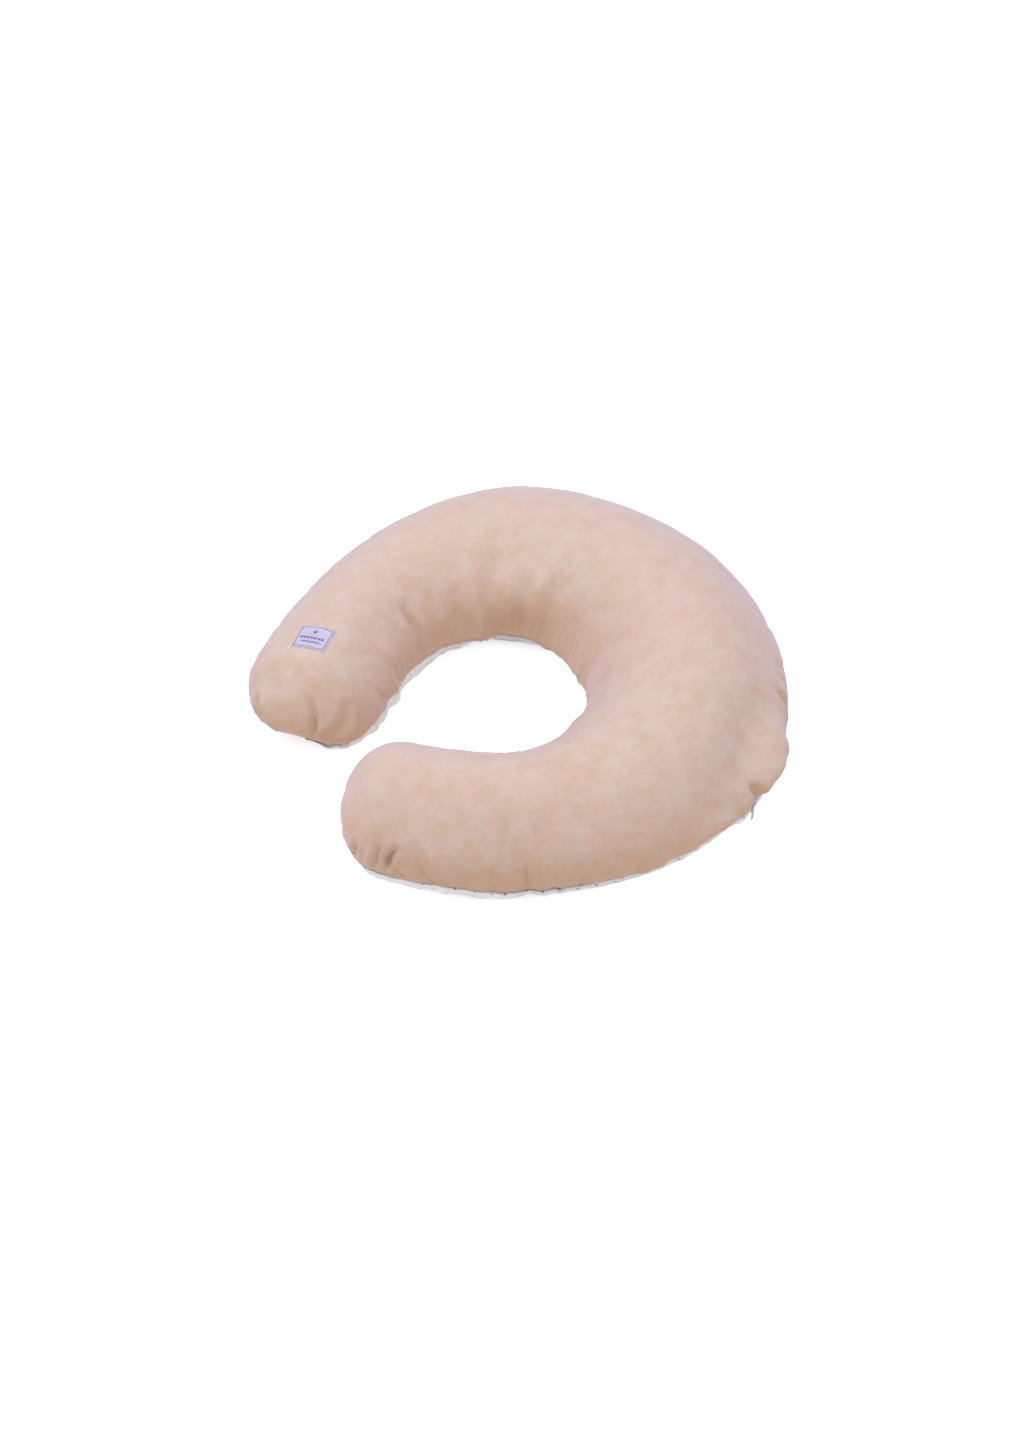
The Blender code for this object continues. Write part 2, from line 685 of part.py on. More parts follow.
def cover():
    """The outer cover: velour above the seam, printed cotton below it, and the seam's thread."""
    velour = material("velour_beige", (213, 189, 176), 0.95)
    cotton = material("cotton_white_dotted", (236, 230, 230), 0.9)
    thread = material("thread_white", (232, 224, 220), 0.8)
    panel("cover_top_panel", velour, True, (0.0, VELOUR), (0.0, VELOUR), slot, True, ACROSS_TOP)
    panel("cover_bottom_panel", cotton, False, (0.0, COTTON), (0.0, COTTON), slot, True, ACROSS)
    start = SLOT_END_ANGLE + math.radians(1.0)
    level_rod("cover_seam_thread", thread, seam_path(start, THREAD_INSET, True), THREAD)


def zipper():
    tape = material("zip_tape_white", (228, 222, 220), 0.85)
    coil = material("zip_coil_white", (238, 236, 236), 0.45)
    thread = material("zip_thread_white", (230, 222, 218), 0.8)
    nickel = material("zip_metal_nickel", (176, 176, 180), 0.32, 1.0)
    for word, up in (("upper", True), ("lower", False)):
        zip_tape("zip_tape_" + word, tape, up)
        zip_coil("zip_coil_" + word, coil, up)
        zip_stitch("zip_stitch_" + word, thread, up)
    zip_tack("zip_end_tack_right", thread, 1.0)
    zip_tack("zip_end_tack_left", thread, -1.0)
    zip_slider(nickel)
    zip_pull(nickel)


def labels():
    woven = material("label_satin_lavender", (200, 196, 216), 0.55)
    thread = material("label_thread", (206, 202, 220), 0.7)
    care = material("care_label_white", (240, 240, 242), 0.5)
    cloth_patch("sewn_label", woven, LABEL_ALONG, LABEL_ACROSS, -LABEL_LIFT, -LABEL_LIFT - LABEL_THICK)
    label_thread(thread)
    cloth_patch("care_label", care, CARE_ALONG, CARE_ACROSS, CARE_INSET, CARE_INSET - CARE_THICK)


def inner_cushion():
    """The stuffed insert: a cotton casing in two panels, its threads, and the fibre inside it."""
    cotton = material("casing_cotton", (240, 236, 230), 0.9)
    thread = material("casing_thread", (228, 222, 214), 0.8)
    fibre = material("polyester_fibre", (246, 246, 246), 1.0)
    insets = (CASING_INSET, CASING_INSET + CASING_CLOTH)
    under_insets = (CASING_UNDER_INSET, CASING_UNDER_INSET + CASING_CLOTH)
    panel("inner_casing_top", cotton, True, insets, insets, no_slot, False, ACROSS)
    panel("inner_casing_bottom", cotton, False, insets, under_insets, no_slot, False, ACROSS)
    stuffed_body("fibre_filling", fibre, FILLING_INSET, FILLING_UNDER_INSET)
    line = CASING_INSET - CLEAR - THREAD
    path = seam_path(CLOSING_HALF_ANGLE + CLOSING_GAP_ANGLE, line, False)
    level_rod("inner_casing_seam_thread", thread, path, THREAD)
    angles = np.linspace(-CLOSING_HALF_ANGLE, CLOSING_HALF_ANGLE, 11)
    closing = skin(angles * BACK_RADIUS, 0.0, line, line)
    level_rod("inner_casing_closing_stitch", thread, closing, THREAD)


remove_everything()
cover()
zipper()
labels()
inner_cushion()
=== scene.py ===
"""Looks of the nursing pillow: simulated cloth panels, seams, zip, label, materials, light and camera."""

import json
import math

import bpy
import numpy as np
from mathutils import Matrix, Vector, bvhtree, kdtree, noise

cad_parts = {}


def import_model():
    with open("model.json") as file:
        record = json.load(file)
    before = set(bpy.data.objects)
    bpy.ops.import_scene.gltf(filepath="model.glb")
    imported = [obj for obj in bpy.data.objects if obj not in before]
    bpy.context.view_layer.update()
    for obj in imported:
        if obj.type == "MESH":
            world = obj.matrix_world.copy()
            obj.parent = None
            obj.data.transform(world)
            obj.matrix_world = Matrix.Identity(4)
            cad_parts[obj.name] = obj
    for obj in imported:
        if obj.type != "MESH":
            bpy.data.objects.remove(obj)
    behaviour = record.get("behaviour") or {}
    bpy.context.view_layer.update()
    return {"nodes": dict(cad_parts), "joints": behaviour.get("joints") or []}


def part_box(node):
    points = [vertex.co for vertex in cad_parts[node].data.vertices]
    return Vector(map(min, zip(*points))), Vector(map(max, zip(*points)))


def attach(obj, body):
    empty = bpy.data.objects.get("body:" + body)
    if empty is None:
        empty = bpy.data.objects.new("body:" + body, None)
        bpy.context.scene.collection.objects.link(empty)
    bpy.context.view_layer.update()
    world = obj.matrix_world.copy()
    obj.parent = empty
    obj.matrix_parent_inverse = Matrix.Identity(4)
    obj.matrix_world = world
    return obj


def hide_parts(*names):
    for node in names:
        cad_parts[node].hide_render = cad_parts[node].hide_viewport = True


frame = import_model()

# ---------------------------------------------------------------- the cushion's shape
SEAM_Z = (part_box("cover_seam_thread")[0].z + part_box("cover_seam_thread")[1].z) / 2.0
TRAVEL = next(j for j in frame["joints"] if j["name"] == "slider_travel")
ARC_Y = TRAVEL["pos_m"][1]
BACK_RADIUS = 0.183
BACK_WIDTH = 0.106
BACK_ARC = math.radians(66.0)
SIDE_END = 0.377
SIDE_CURVE = 4.65
TIP_CURVE = -2.6
SIDE_WIDTH = 0.080
TIP_WIDTH = 0.076
TIP_ROUND = 0.056
LENGTH = {-1: 0.562, 1: 0.548}
MEAN_LENGTH = 0.555
BACK_RISE = 0.093
TIP_RISE = 0.072
TOP_POWER = 1.3
UNDER_POWER = 0.56
UNDER_SPREAD = 1.12
TIP_POWER = 0.9
PATH_SAMPLES = 4000
INSET_REACH = 0.15
TINY = 1e-9

# ---------------------------------------------------------------- cloth grids
FINE = 2
BACK_COLUMNS = 200
CAP_COLUMNS = 12
ROWS = 48
ROW_WARP = 0.30

ZIP_ANGLE = math.radians(60.5)
SLOT_ANGLE = math.radians(61.6)
SLOT_END = math.radians(65.2)
SLOT_HALF = 0.0039


def smooth(x):
    x = np.clip(x, 0.0, 1.0)
    return x * x * (3.0 - 2.0 * x)


def unit(v):
    return v / np.linalg.norm(v, axis=-1, keepdims=True)


def length_along(path):
    """Distance along a path to each of its points."""
    return np.insert(np.cumsum(np.linalg.norm(np.diff(path, axis=0), axis=1)), 0, 0.0)


def cap_at(a, length):
    """The cushion's width at a distance along one side, as a share of its width without the round tip."""
    c = np.clip((a - (length - TIP_ROUND)) / TIP_ROUND, 0.0, 1.0)
    return np.sqrt(np.maximum(1.0 - c * c, TINY))


def blend_along(s, length, back, side, tip):
    """A value that is even round the back, then eases to the side's and on to the tip's."""
    start = BACK_ARC * BACK_RADIUS
    side_end = SIDE_END / MEAN_LENGTH * length
    first = smooth((s - start) / (side_end - start))
    second = smooth((s - side_end) / (length - side_end))
    return back + (side - back) * first + (tip - side) * second


def half_path(length):
    """The cushion's middle line on one side: distance along it, x, y and heading."""
    s = np.linspace(0.0, length, PATH_SAMPLES)
    k = blend_along(s, length, 1.0 / BACK_RADIUS, SIDE_CURVE, TIP_CURVE)
    step = np.diff(s)
    heading = np.concatenate([[0.0], np.cumsum((k[1:] + k[:-1]) / 2.0 * step)])
    middle = (heading[1:] + heading[:-1]) / 2.0
    x = np.concatenate([[0.0], np.cumsum(np.cos(middle) * step)])
    drop = np.concatenate([[0.0], np.cumsum(np.sin(middle) * step)])
    return s, x, ARC_Y + BACK_RADIUS - drop, heading


PATHS = {side: half_path(LENGTH[side]) for side in (-1, 1)}


def tube(s, b, over, inset=0.0, under_inset=None):
    """Points of the cushion's skin: s along the tube (negative on -X), b across it (1 is the outer seam)."""
    under_inset = inset if under_inset is None else under_inset
    s, b = np.broadcast_arrays(np.asarray(s, float), np.asarray(b, float))
    out = np.zeros(s.shape + (3,))
    for side in (-1, 1):
        pick = (s < 0.0) if side < 0 else (s >= 0.0)
        length = LENGTH[side]
        a, across = np.abs(s[pick]), b[pick]
        along = a - inset * smooth((a - (length - INSET_REACH)) / INSET_REACH)
        path = PATHS[side]
        x, y, h = (np.interp(along, path[0], path[k]) for k in (1, 2, 3))
        cap = cap_at(a, length)
        share = np.clip(across / cap, -1.0, 1.0)
        sine = np.sqrt(np.maximum(1.0 - share**2, 0.0))
        width = blend_along(a, length, BACK_WIDTH, SIDE_WIDTH, TIP_WIDTH) - inset
        rise = BACK_RISE + (TIP_RISE - BACK_RISE) * smooth(a / length) - inset
        if over:
            z = SEAM_Z + rise * cap**TIP_POWER * sine**TOP_POWER
        else:
            depth = np.minimum(1.0, UNDER_SPREAD * sine**UNDER_POWER)
            z = SEAM_Z - (SEAM_Z - under_inset) * cap**TIP_POWER * depth
        out[pick] = np.stack([side * (x + width * across * np.sin(h)), y + width * across * np.cos(h), z], -1)
    return out


def domain(rows, factor=1):
    """(s, b) of a grid over a panel: straight columns along the tube, and a square-to-disc map at each horn."""
    t = np.linspace(0.0, 1.0, rows * factor + 1)
    v = np.cos(math.pi * (t - ROW_WARP * np.sin(2.0 * math.pi * t) / math.pi))
    left = -(LENGTH[-1] - TIP_ROUND)
    right = LENGTH[1] - TIP_ROUND
    straight = np.linspace(left, right, BACK_COLUMNS * factor + 1)
    u = np.linspace(0.0, 1.0, CAP_COLUMNS * factor + 1)[1:]
    a = TIP_ROUND * u[:, None] * np.sqrt(1.0 - v[None, :] ** 2 / 2.0)
    b = v[None, :] * np.sqrt(1.0 - u[:, None] ** 2 / 2.0)
    s = np.concatenate([(left - a)[::-1], np.repeat(straight[:, None], len(v), 1), right + a])
    return s, np.concatenate([b[::-1], np.repeat(v[None, :], len(straight), 0), b])


def quad_faces(columns, rows, start=0, flip=False):
    faces = []
    for i in range(columns - 1):
        for j in range(rows - 1):
            a = start + i * rows + j
            quad = (a, a + rows, a + rows + 1, a + 1)
            faces.append(quad[::-1] if flip else quad)
    return faces


def edge_loop(columns, rows):
    """(i, j) round the edge of a grid: along the outer seam, the +X tip, the inner seam and the -X tip."""
    loop = [(i, 0) for i in range(columns)] + [(columns - 1, j) for j in range(1, rows)]
    loop += [(i, rows - 1) for i in range(columns - 2, -1, -1)] + [(0, j) for j in range(rows - 2, 0, -1)]
    return loop


def rim_of(grid):
    """Index of a grid's edge points, in edge_loop's order."""
    return tuple(np.array(edge_loop(*grid.shape[:2])).T)


def ring_of(grid, start=0):
    """Vertex numbers of a grid's edge points, in edge_loop's order."""
    return [start + i * grid.shape[1] + j for i, j in edge_loop(*grid.shape[:2])]


def welded(top, under):
    """One closed skin from two grids that share their edge: its points and faces, the vertex number of each of
    the second grid's points, and which of those points are its own."""
    columns, rows = top.shape[:2]
    count = columns * rows
    shared = set(ring_of(top))
    inner = [k for k in range(count) if k not in shared]
    number = np.arange(count)
    number[inner] = count + np.arange(len(inner))
    faces = quad_faces(columns, rows, 0, True)
    faces += [tuple(int(number[k]) for k in quad) for quad in quad_faces(columns, rows)]
    return np.concatenate([top.reshape(-1, 3), under.reshape(-1, 3)[inner]]), faces, number, inner


# ---------------------------------------------------------------- cloth simulation
CLOTH_FRAMES = 20
CLOTH = {
    "quality": 5, "mass": 0.15, "tension_stiffness": 20.0, "compression_stiffness": 20.0,
    "shear_stiffness": 5.0, "bending_stiffness": 0.15, "use_pressure": True, "uniform_pressure_force": 4.0,
    "vertex_group_shrink": "gather", "shrink_max": 0.10, "vertex_group_mass": "hold", "pin_stiffness": 1.0,
}
HOLD = 0.12
SEAM_REACH = 0.010
BLUR_CELLS = 7


def simulated(top, under, seam_weight):
    """Blow the closed tube of both panels up as cloth, its seam drawn in, and return both grids."""
    points, faces, number, inner = welded(top, under)
    mesh = bpy.data.meshes.new("cloth")
    mesh.from_pydata(points.tolist(), [], faces)
    cloth_object = bpy.data.objects.new("cloth", mesh)
    bpy.context.scene.collection.objects.link(cloth_object)
    weights = np.concatenate([seam_weight[0].ravel(), seam_weight[1].ravel()[inner]])
    gather = cloth_object.vertex_groups.new(name="gather")
    hold = cloth_object.vertex_groups.new(name="hold")
    for k, w in enumerate(weights):
        gather.add([k], float(w), "REPLACE")
    hold.add(list(range(len(points))), HOLD, "REPLACE")
    modifier = cloth_object.modifiers.new("cloth", "CLOTH")
    for name, value in CLOTH.items():
        setattr(modifier.settings, name, value)
    modifier.settings.effector_weights.gravity = 0.0
    modifier.collision_settings.use_collision = False
    modifier.collision_settings.use_self_collision = False
    modifier.point_cache.frame_start = 1
    modifier.point_cache.frame_end = CLOTH_FRAMES
    for frame_number in range(1, CLOTH_FRAMES + 1):
        bpy.context.scene.frame_set(frame_number)
    result = cloth_object.evaluated_get(bpy.context.evaluated_depsgraph_get()).data
    moved = np.zeros(len(points) * 3)
    result.vertices.foreach_get("co", moved)
    moved = moved.reshape(-1, 3)
    bpy.context.scene.frame_set(1)
    bpy.data.objects.remove(cloth_object, do_unlink=True)
    return moved[: len(number)].reshape(top.shape), moved[number].reshape(under.shape)


def blurred(field, cells):
    """Gaussian blur of a grid of vectors, its edges held."""
    reach = int(cells * 3)
    kernel = np.exp(-0.5 * (np.arange(-reach, reach + 1) / cells) ** 2)
    kernel /= kernel.sum()
    for axis in (0, 1):
        pad = [(reach, reach) if k == axis else (0, 0) for k in range(3)]
        padded = np.pad(field, pad, mode="edge")
        field = sum(w * np.take(padded, range(n, n + field.shape[axis]), axis) for n, w in enumerate(kernel))
    return field


def refined(field, factor):
    """The same grid with factor times as many cells each way."""
    for axis in (0, 1):
        count = field.shape[axis]
        at = np.arange((count - 1) * factor + 1) / factor
        low = np.minimum(at.astype(int), count - 2)
        share = (at - low).reshape([-1 if k == axis else 1 for k in range(field.ndim)])
        field = np.take(field, low, axis) * (1.0 - share) + np.take(field, low + 1, axis) * share
    return field


def seam_distance(grid):
    """How far each point of a panel is from the panel's edge, measured over the cloth."""
    spans = []
    for axis in (0, 1):
        step = np.linalg.norm(np.diff(grid, axis=axis), axis=2)
        total = np.insert(np.cumsum(step, axis=axis), 0, 0.0, axis=axis)
        spans.append(np.minimum(total, np.take(total, [-1], axis) - total))
    return np.minimum(*spans)


def outward(top, under):
    """Vertex normals of the closed cushion on both grids, shared along the seam."""
    found = []
    for grid, sign in ((top, -1.0), (under, 1.0)):
        a, b, c, d = grid[:-1, :-1], grid[1:, :-1], grid[1:, 1:], grid[:-1, 1:]
        face = np.cross(c - a, d - b) * sign
        total = np.zeros_like(grid)
        for corner in (np.s_[:-1, :-1], np.s_[1:, :-1], np.s_[1:, 1:], np.s_[:-1, 1:]):
            total[corner] += face
        found.append(total)
    edge = rim_of(top)
    found[0][edge] = found[1][edge] = found[0][edge] + found[1][edge]
    return [n / np.maximum(np.linalg.norm(n, axis=2, keepdims=True), 1e-12) for n in found]


def level_way(normals):
    """The level unit vectors of a row of normals."""
    return unit(normals * (1.0, 1.0, 0.0))


# ---------------------------------------------------------------- folds, lumps and puckers
SEAM_ZONE = 0.085
SAG_REACH = 0.045
# How far the seam lies below its even height, in mm, at places along the tube in m.
OUTER_SAG = [
    (-0.56, 31.0), (-0.46, 27.0), (-0.32, 12.0), (-0.22, 0.0),
    (0.22, 0.0), (0.25, 15.0), (0.28, 21.0), (0.33, 20.0), (0.38, 15.0), (0.43, 12.0), (0.50, 13.0), (0.55, 20.0),
]
INNER_SAG = [
    (-0.56, 28.0), (-0.535, 14.0), (-0.50, 4.0), (-0.38, 3.0), (-0.27, 9.0), (-0.12, 13.0),
    (0.00, 14.0), (0.08, 14.0), (0.30, 9.0), (0.55, 13.0),
]
WRINKLE_CAP = 0.008
CRUMPLE_TOP = 0.95
CRUMPLE_UNDER = 0.6
CRUMPLE_FAR = 0.30
CRUMPLE_REACH = 0.035
LUMP_SIZE = 0.075
LUMP_HEIGHT = 0.0016
SMALL_LUMP_SIZE = 0.030
SMALL_LUMP_HEIGHT = 0.0005
SEAM_RUFFLE = 0.0024
VELOUR_RUFFLE = 0.0016
COTTON_RUFFLE = 0.0048
PUCKER_PITCH = 0.0095
PUCKER_SPELL = 6.0 * PUCKER_PITCH
PUCKER_LEAST = 0.5
PUCKER_MORE = 0.9
PUCKER_REACH = 0.009
PUCKER_SEED = 3.5
GROOVE_DEPTH = 0.0022
GROOVE_WIDTH = 0.0042
GROOVE_FADE = 0.8
GROOVE_FADE_SAG = 0.025
# Along the zip: how far the cloth may stand off beside the coil, and where it makes room for the parked pull.
SLOT_REACH = 0.012
SLOT_CALM = 0.006
ZIP_FREE = 0.022
ZIP_SINK = 0.0005
TAPE_WIDTH = 0.0125
COIL_CLEAR = 0.0045
LIP_LEAST = 0.0002
ZIP_SLOPE = 0.18
OPEN_SLOPE = 1.7
PARKED_ANGLES = (math.radians(58.1), math.radians(61.2))
PARKED_BLEND = math.radians(0.8)
VELOUR = 0.0022
COTTON = 0.0012
PLY_GAP = 0.00035
SEAM_INSET = 0.0013
SHARED_REACH = 0.010

# Folds of the velour: the points (s along the tube in m, degrees from the outer seam over the crest),
# then depth and half width in mm. A negative depth is a raised fold.
VELOUR_FOLDS = [
    ([(-0.557, 20), (-0.553, 24), (-0.547, 32)], 9.0, 3.4),
    ([(-0.550, 6), (-0.546, 26)], -2.0, 5.0),
    ([(-0.559, 160), (-0.556, 135), (-0.551, 112)], 5.5, 3.6),
    ([(-0.558, 164), (-0.552, 146)], -2.5, 5.0),
    ([(-0.549, 164), (-0.536, 140)], 3.0, 6.0),
    ([(-0.405, 174), (-0.395, 148), (-0.385, 128)], 6.0, 6.0),
    ([(-0.385, 170), (-0.375, 148)], -1.8, 8.0),
    ([(-0.312, 172), (-0.305, 140)], 3.0, 9.0),
    ([(-0.250, 172), (-0.244, 140), (-0.232, 112)], 4.2, 11.0),
    ([(-0.165, 172), (-0.153, 142), (-0.136, 105)], -3.0, 10.0),
    ([(-0.185, 170), (-0.176, 140)], 2.2, 9.0),
    ([(-0.060, 172), (-0.064, 140)], 1.2, 10.0),
    ([(0.040, 172), (0.046, 142)], 1.2, 11.0),
    ([(0.118, 172), (0.128, 140), (0.132, 118)], 1.4, 10.0),
    ([(0.190, 172), (0.200, 142)], 1.4, 12.0),
    ([(0.108, 2), (0.108, 16), (0.106, 30)], 8.0, 7.0),
    ([(0.150, 12), (0.150, 34)], -2.0, 18.0),
    ([(0.196, 3), (0.194, 14)], 3.5, 4.5),
    ([(0.484, 4), (0.482, 17), (0.474, 28)], 6.5, 4.0),
    ([(0.496, 4), (0.492, 24)], 3.5, 3.8),
    ([(0.506, 6), (0.502, 22)], -2.0, 4.0),
    ([(0.522, 5), (0.521, 22)], 4.0, 3.5),
    ([(0.537, 90), (0.535, 60)], 0.8, 12.0),
    ([(0.420, 8), (0.414, 26)], 0.9, 8.0),
]
# Places where the filling pushes the velour out (negative depth), told like the folds.
SWELLS = [
    ([(-0.24, 50), (-0.18, 50), (-0.14, 48)], -5.0, 38.0),
    ([(-0.54, 33), (-0.48, 32)], -6.5, 40.0),
    ([(-0.56, 45), (-0.555, 15)], -5.5, 26.0),
    ([(0.36, 120), (0.50, 130)], -2.5, 45.0),
    ([(-0.16, 25), (-0.10, 25), (-0.04, 25)], -1.5, 18.0),
    ([(0.045, 20), (0.088, 18)], -3.0, 16.0),
    ([(0.120, 17), (0.155, 17), (0.192, 17)], -13.5, 25.0),
    ([(0.155, 14), (0.180, 13), (0.210, 13)], -11.0, 19.0),
    ([(0.208, 11), (0.240, 10)], -6.5, 12.0),
]
# Places where both panels are drawn in beside the seam.
SLACK = [
    ([(0.24, 2), (0.38, 2), (0.52, 4)], 3.2, 17.0),
    ([(0.546, 50), (0.546, 120)], 3.0, 30.0),
    ([(-0.28, 178), (-0.21, 178), (-0.13, 178)], 14.0, 28.0),
    ([(-0.51, 182), (-0.34, 182)], 6.0, 22.0),
]
# Places where the cotton is drawn in under the walls; above 180 degrees lies the underside.
UNDER_SLACK = [
    ([(-0.30, 206), (-0.24, 206), (-0.17, 206)], 14.0, 25.0),
    ([(-0.14, 206), (-0.05, 206)], 6.0, 22.0),
    ([(-0.56, 203), (-0.515, 200)], 5.0, 15.0),
    ([(0.074, 338), (0.084, 338)], 11.0, 10.0),
    ([(0.175, 346), (0.27, 347), (0.36, 350)], 10.0, 19.0),
]
FOLD_SEARCH = 0.10
FOLD_STEPS = 12
FOLD_TAPER = 0.7
RIDGE_SHARE = 0.35
RIDGE_AWAY = 1.9


def lump(points, size, seed):
    """Smooth noise over 3-D points, about -1 to 1."""
    shift = Vector((seed * 7.3, seed * 3.1, seed * 5.7))
    flat = points.reshape(-1, 3) / size
    return np.array([noise.noise(Vector(p) + shift) for p in flat.tolist()]).reshape(points.shape[:-1])


def cap_of(s):
    """cap_at for signed distances along the whole tube."""
    return cap_at(np.abs(s), np.where(s < 0.0, LENGTH[-1], LENGTH[1]))


def fold_points(fold):
    """Points on the even cushion along one fold's line."""
    line = np.array(fold)
    t = np.linspace(0.0, len(line) - 1.0, FOLD_STEPS * (len(line) - 1) + 1)
    s = np.interp(t, range(len(line)), line[:, 0])
    degrees = np.interp(t, range(len(line)), line[:, 1])
    return tube(s, np.cos(np.radians(degrees)) * cap_of(s), bool(degrees.mean() <= 180.0))


def folded(grid, folds):
    """Height that the folds add at each point of a panel: a valley with soft ridges, tapered at both ends."""
    height = np.zeros(grid.shape[:2])
    for line, depth, width in folds:
        path = fold_points(line)
        width = width / 1000.0
        reach = FOLD_SEARCH + 3.0 * width + np.ptp(path, axis=0).max() / 2.0
        near = np.linalg.norm(grid - path.mean(0), axis=2) < reach
        gap = np.linalg.norm(grid[near][:, None] - path[None], axis=2)
        nearest = gap.argmin(1)
        ends = np.sin(np.pi * np.clip((nearest + 1.5) / (len(path) + 2.0), 0.0, 1.0)) ** FOLD_TAPER
        away = gap.min(1) / width
        shape = np.exp(-(away**2)) - RIDGE_SHARE * np.exp(-((away - RIDGE_AWAY) ** 2))
        height[near] -= depth / 1000.0 * shape * ends
    return height


def by_the_seam(grid, normals, distance):
    """For each point near the seam: how far round the seam it lies in metres, and the level way out there."""
    edge = rim_of(grid)
    loop = grid[edge]
    out = level_way(normals[edge])
    along = length_along(loop)
    tree = kdtree.KDTree(len(loop))
    for k, p in enumerate(loop):
        tree.insert(Vector(p), k)
    tree.balance()
    length = np.zeros(grid.shape[:2])
    level = np.zeros(grid.shape)
    for i, j in zip(*np.nonzero(distance < SEAM_ZONE)):
        k = tree.find(Vector(grid[i, j]))[1]
        length[i, j] = along[k]
        level[i, j] = out[k]
    return length, level


def inset_at(z, width, rise):
    """How far inside its widest line the even cushion's wall stands at a height."""
    over = (np.maximum(z - SEAM_Z, 0.0) / rise) ** (1.0 / TOP_POWER)
    under = (np.maximum(SEAM_Z - z, 0.0) / (SEAM_Z * UNDER_SPREAD)) ** (1.0 / UNDER_POWER)
    sine = np.clip(np.where(z > SEAM_Z, over, under), 0.0, 1.0)
    return width * (1.0 - np.sqrt(1.0 - sine**2))


def seam_sag(s, b):
    """How far the seam lies below its even height: none along the zip, most at the horns' tips."""
    share = np.clip(b / cap_of(s), -1.0, 1.0)
    sags = [np.interp(s, *np.array(knots).T) / 1000.0 for knots in (INNER_SAG, OUTER_SAG)]
    return sags[0] + (sags[1] - sags[0]) * smooth((share + 1.0) / 2.0)


def sagged(grid, sag, level, distance, over):
    """The panel with its edge slid down (or up) over the cushion's wall by sag."""
    z = grid[..., 2]
    if over:
        lower = z - sag * np.exp(-((distance / SAG_REACH) ** 2))
    else:
        lower = z * (1.0 - sag / SEAM_Z)
    rise = (BACK_RISE + TIP_RISE) / 2.0
    move = inset_at(lower, SIDE_WIDTH, rise) - inset_at(z, SIDE_WIDTH, rise)
    fade = smooth((SEAM_ZONE - distance) / SEAM_ZONE * 2.0)
    out = grid - level * (move * fade)[..., None]
    out[..., 2] = z + (lower - z) * fade
    return out


def pucker(along):
    """Uneven waves along the seam, mostly within -1 to 1, that swell and die down."""
    flat = along.ravel().tolist()
    wave, calm = (
        np.array([noise.noise(Vector((a / pitch, PUCKER_SEED, level))) for a in flat])
        for pitch, level in ((PUCKER_PITCH, 0.3), (PUCKER_SPELL, 4.1))
    )
    return (wave * (PUCKER_LEAST + PUCKER_MORE * np.abs(calm))).reshape(along.shape)


def round_angle(points):
    """Angle of each point round the closed back, alike on both sides, and its distance from the arc's centre."""
    x, y = points[..., 0], points[..., 1] - ARC_Y
    return np.abs(np.arctan2(x, y)), np.hypot(x, y)


def zip_share(grid):
    """1 where the zip's slot is open at this angle round the back, 0 beyond its ends and off the outer side."""
    angle, radius = round_angle(grid)
    return smooth((SLOT_END - angle) / (SLOT_END - SLOT_ANGLE)) * (radius > BACK_RADIUS)


def cloth_height(panel, normals):
    """How far each point of a panel stands off the even cushion: simulated crumples, lumps, folds, puckers."""
    base, distance, slot = panel["points"], panel["distance"], panel["slot"]
    over = panel["sign"] > 0.0
    near_seam = np.exp(-((distance / CRUMPLE_REACH) ** 2))
    gain = (CRUMPLE_TOP if over else CRUMPLE_UNDER) * (CRUMPLE_FAR + (1.0 - CRUMPLE_FAR) * near_seam)
    height = gain * np.clip((panel["crumple"] * normals).sum(2), -WRINKLE_CAP, WRINKLE_CAP)
    height += LUMP_HEIGHT * lump(base, LUMP_SIZE, 1) + SMALL_LUMP_HEIGHT * lump(base, SMALL_LUMP_SIZE, 2)
    height += folded(base, SLACK)
    # Each panel's own folds reach a little way over the seam into the other, so both edges stay together.
    shared = np.exp(-((distance / SHARED_REACH) ** 2))
    height += (folded(base, SWELLS) + folded(base, VELOUR_FOLDS)) * (1.0 if over else shared)
    height += folded(base, UNDER_SLACK) * (shared if over else 1.0)
    away = distance / PUCKER_REACH
    ruffle = VELOUR_RUFFLE if over else COTTON_RUFFLE
    wave = pucker(panel["along"])
    height += wave * (SEAM_RUFFLE * np.exp(-(away**2)) + ruffle * away * np.exp(1.0 - away))
    angle = round_angle(base)[0]
    parked = smooth((angle - PARKED_ANGLES[0]) / PARKED_BLEND) * smooth((PARKED_ANGLES[1] - angle) / PARKED_BLEND)
    slope = OPEN_SLOPE + (ZIP_SLOPE - OPEN_SLOPE) * (parked if over else 1.0)
    ceiling = LIP_LEAST + slope * np.maximum(distance - COIL_CLEAR, 0.0)
    near_zip = slot * smooth((ZIP_FREE * 2.0 - distance) / ZIP_FREE)
    sink = ZIP_SINK + np.maximum(distance - TAPE_WIDTH, 0.0)
    height = height * (1.0 - near_zip) + np.clip(height, -sink, ceiling) * near_zip
    height *= 1.0 - slot * np.exp(-((distance / SLOT_CALM) ** 2))
    groove = GROOVE_DEPTH * (1.0 - slot) * (1.0 - GROOVE_FADE * smooth(panel["sag"] / GROOVE_FADE_SAG))
    return height - groove * np.exp(-((distance / GROOVE_WIDTH) ** 2))


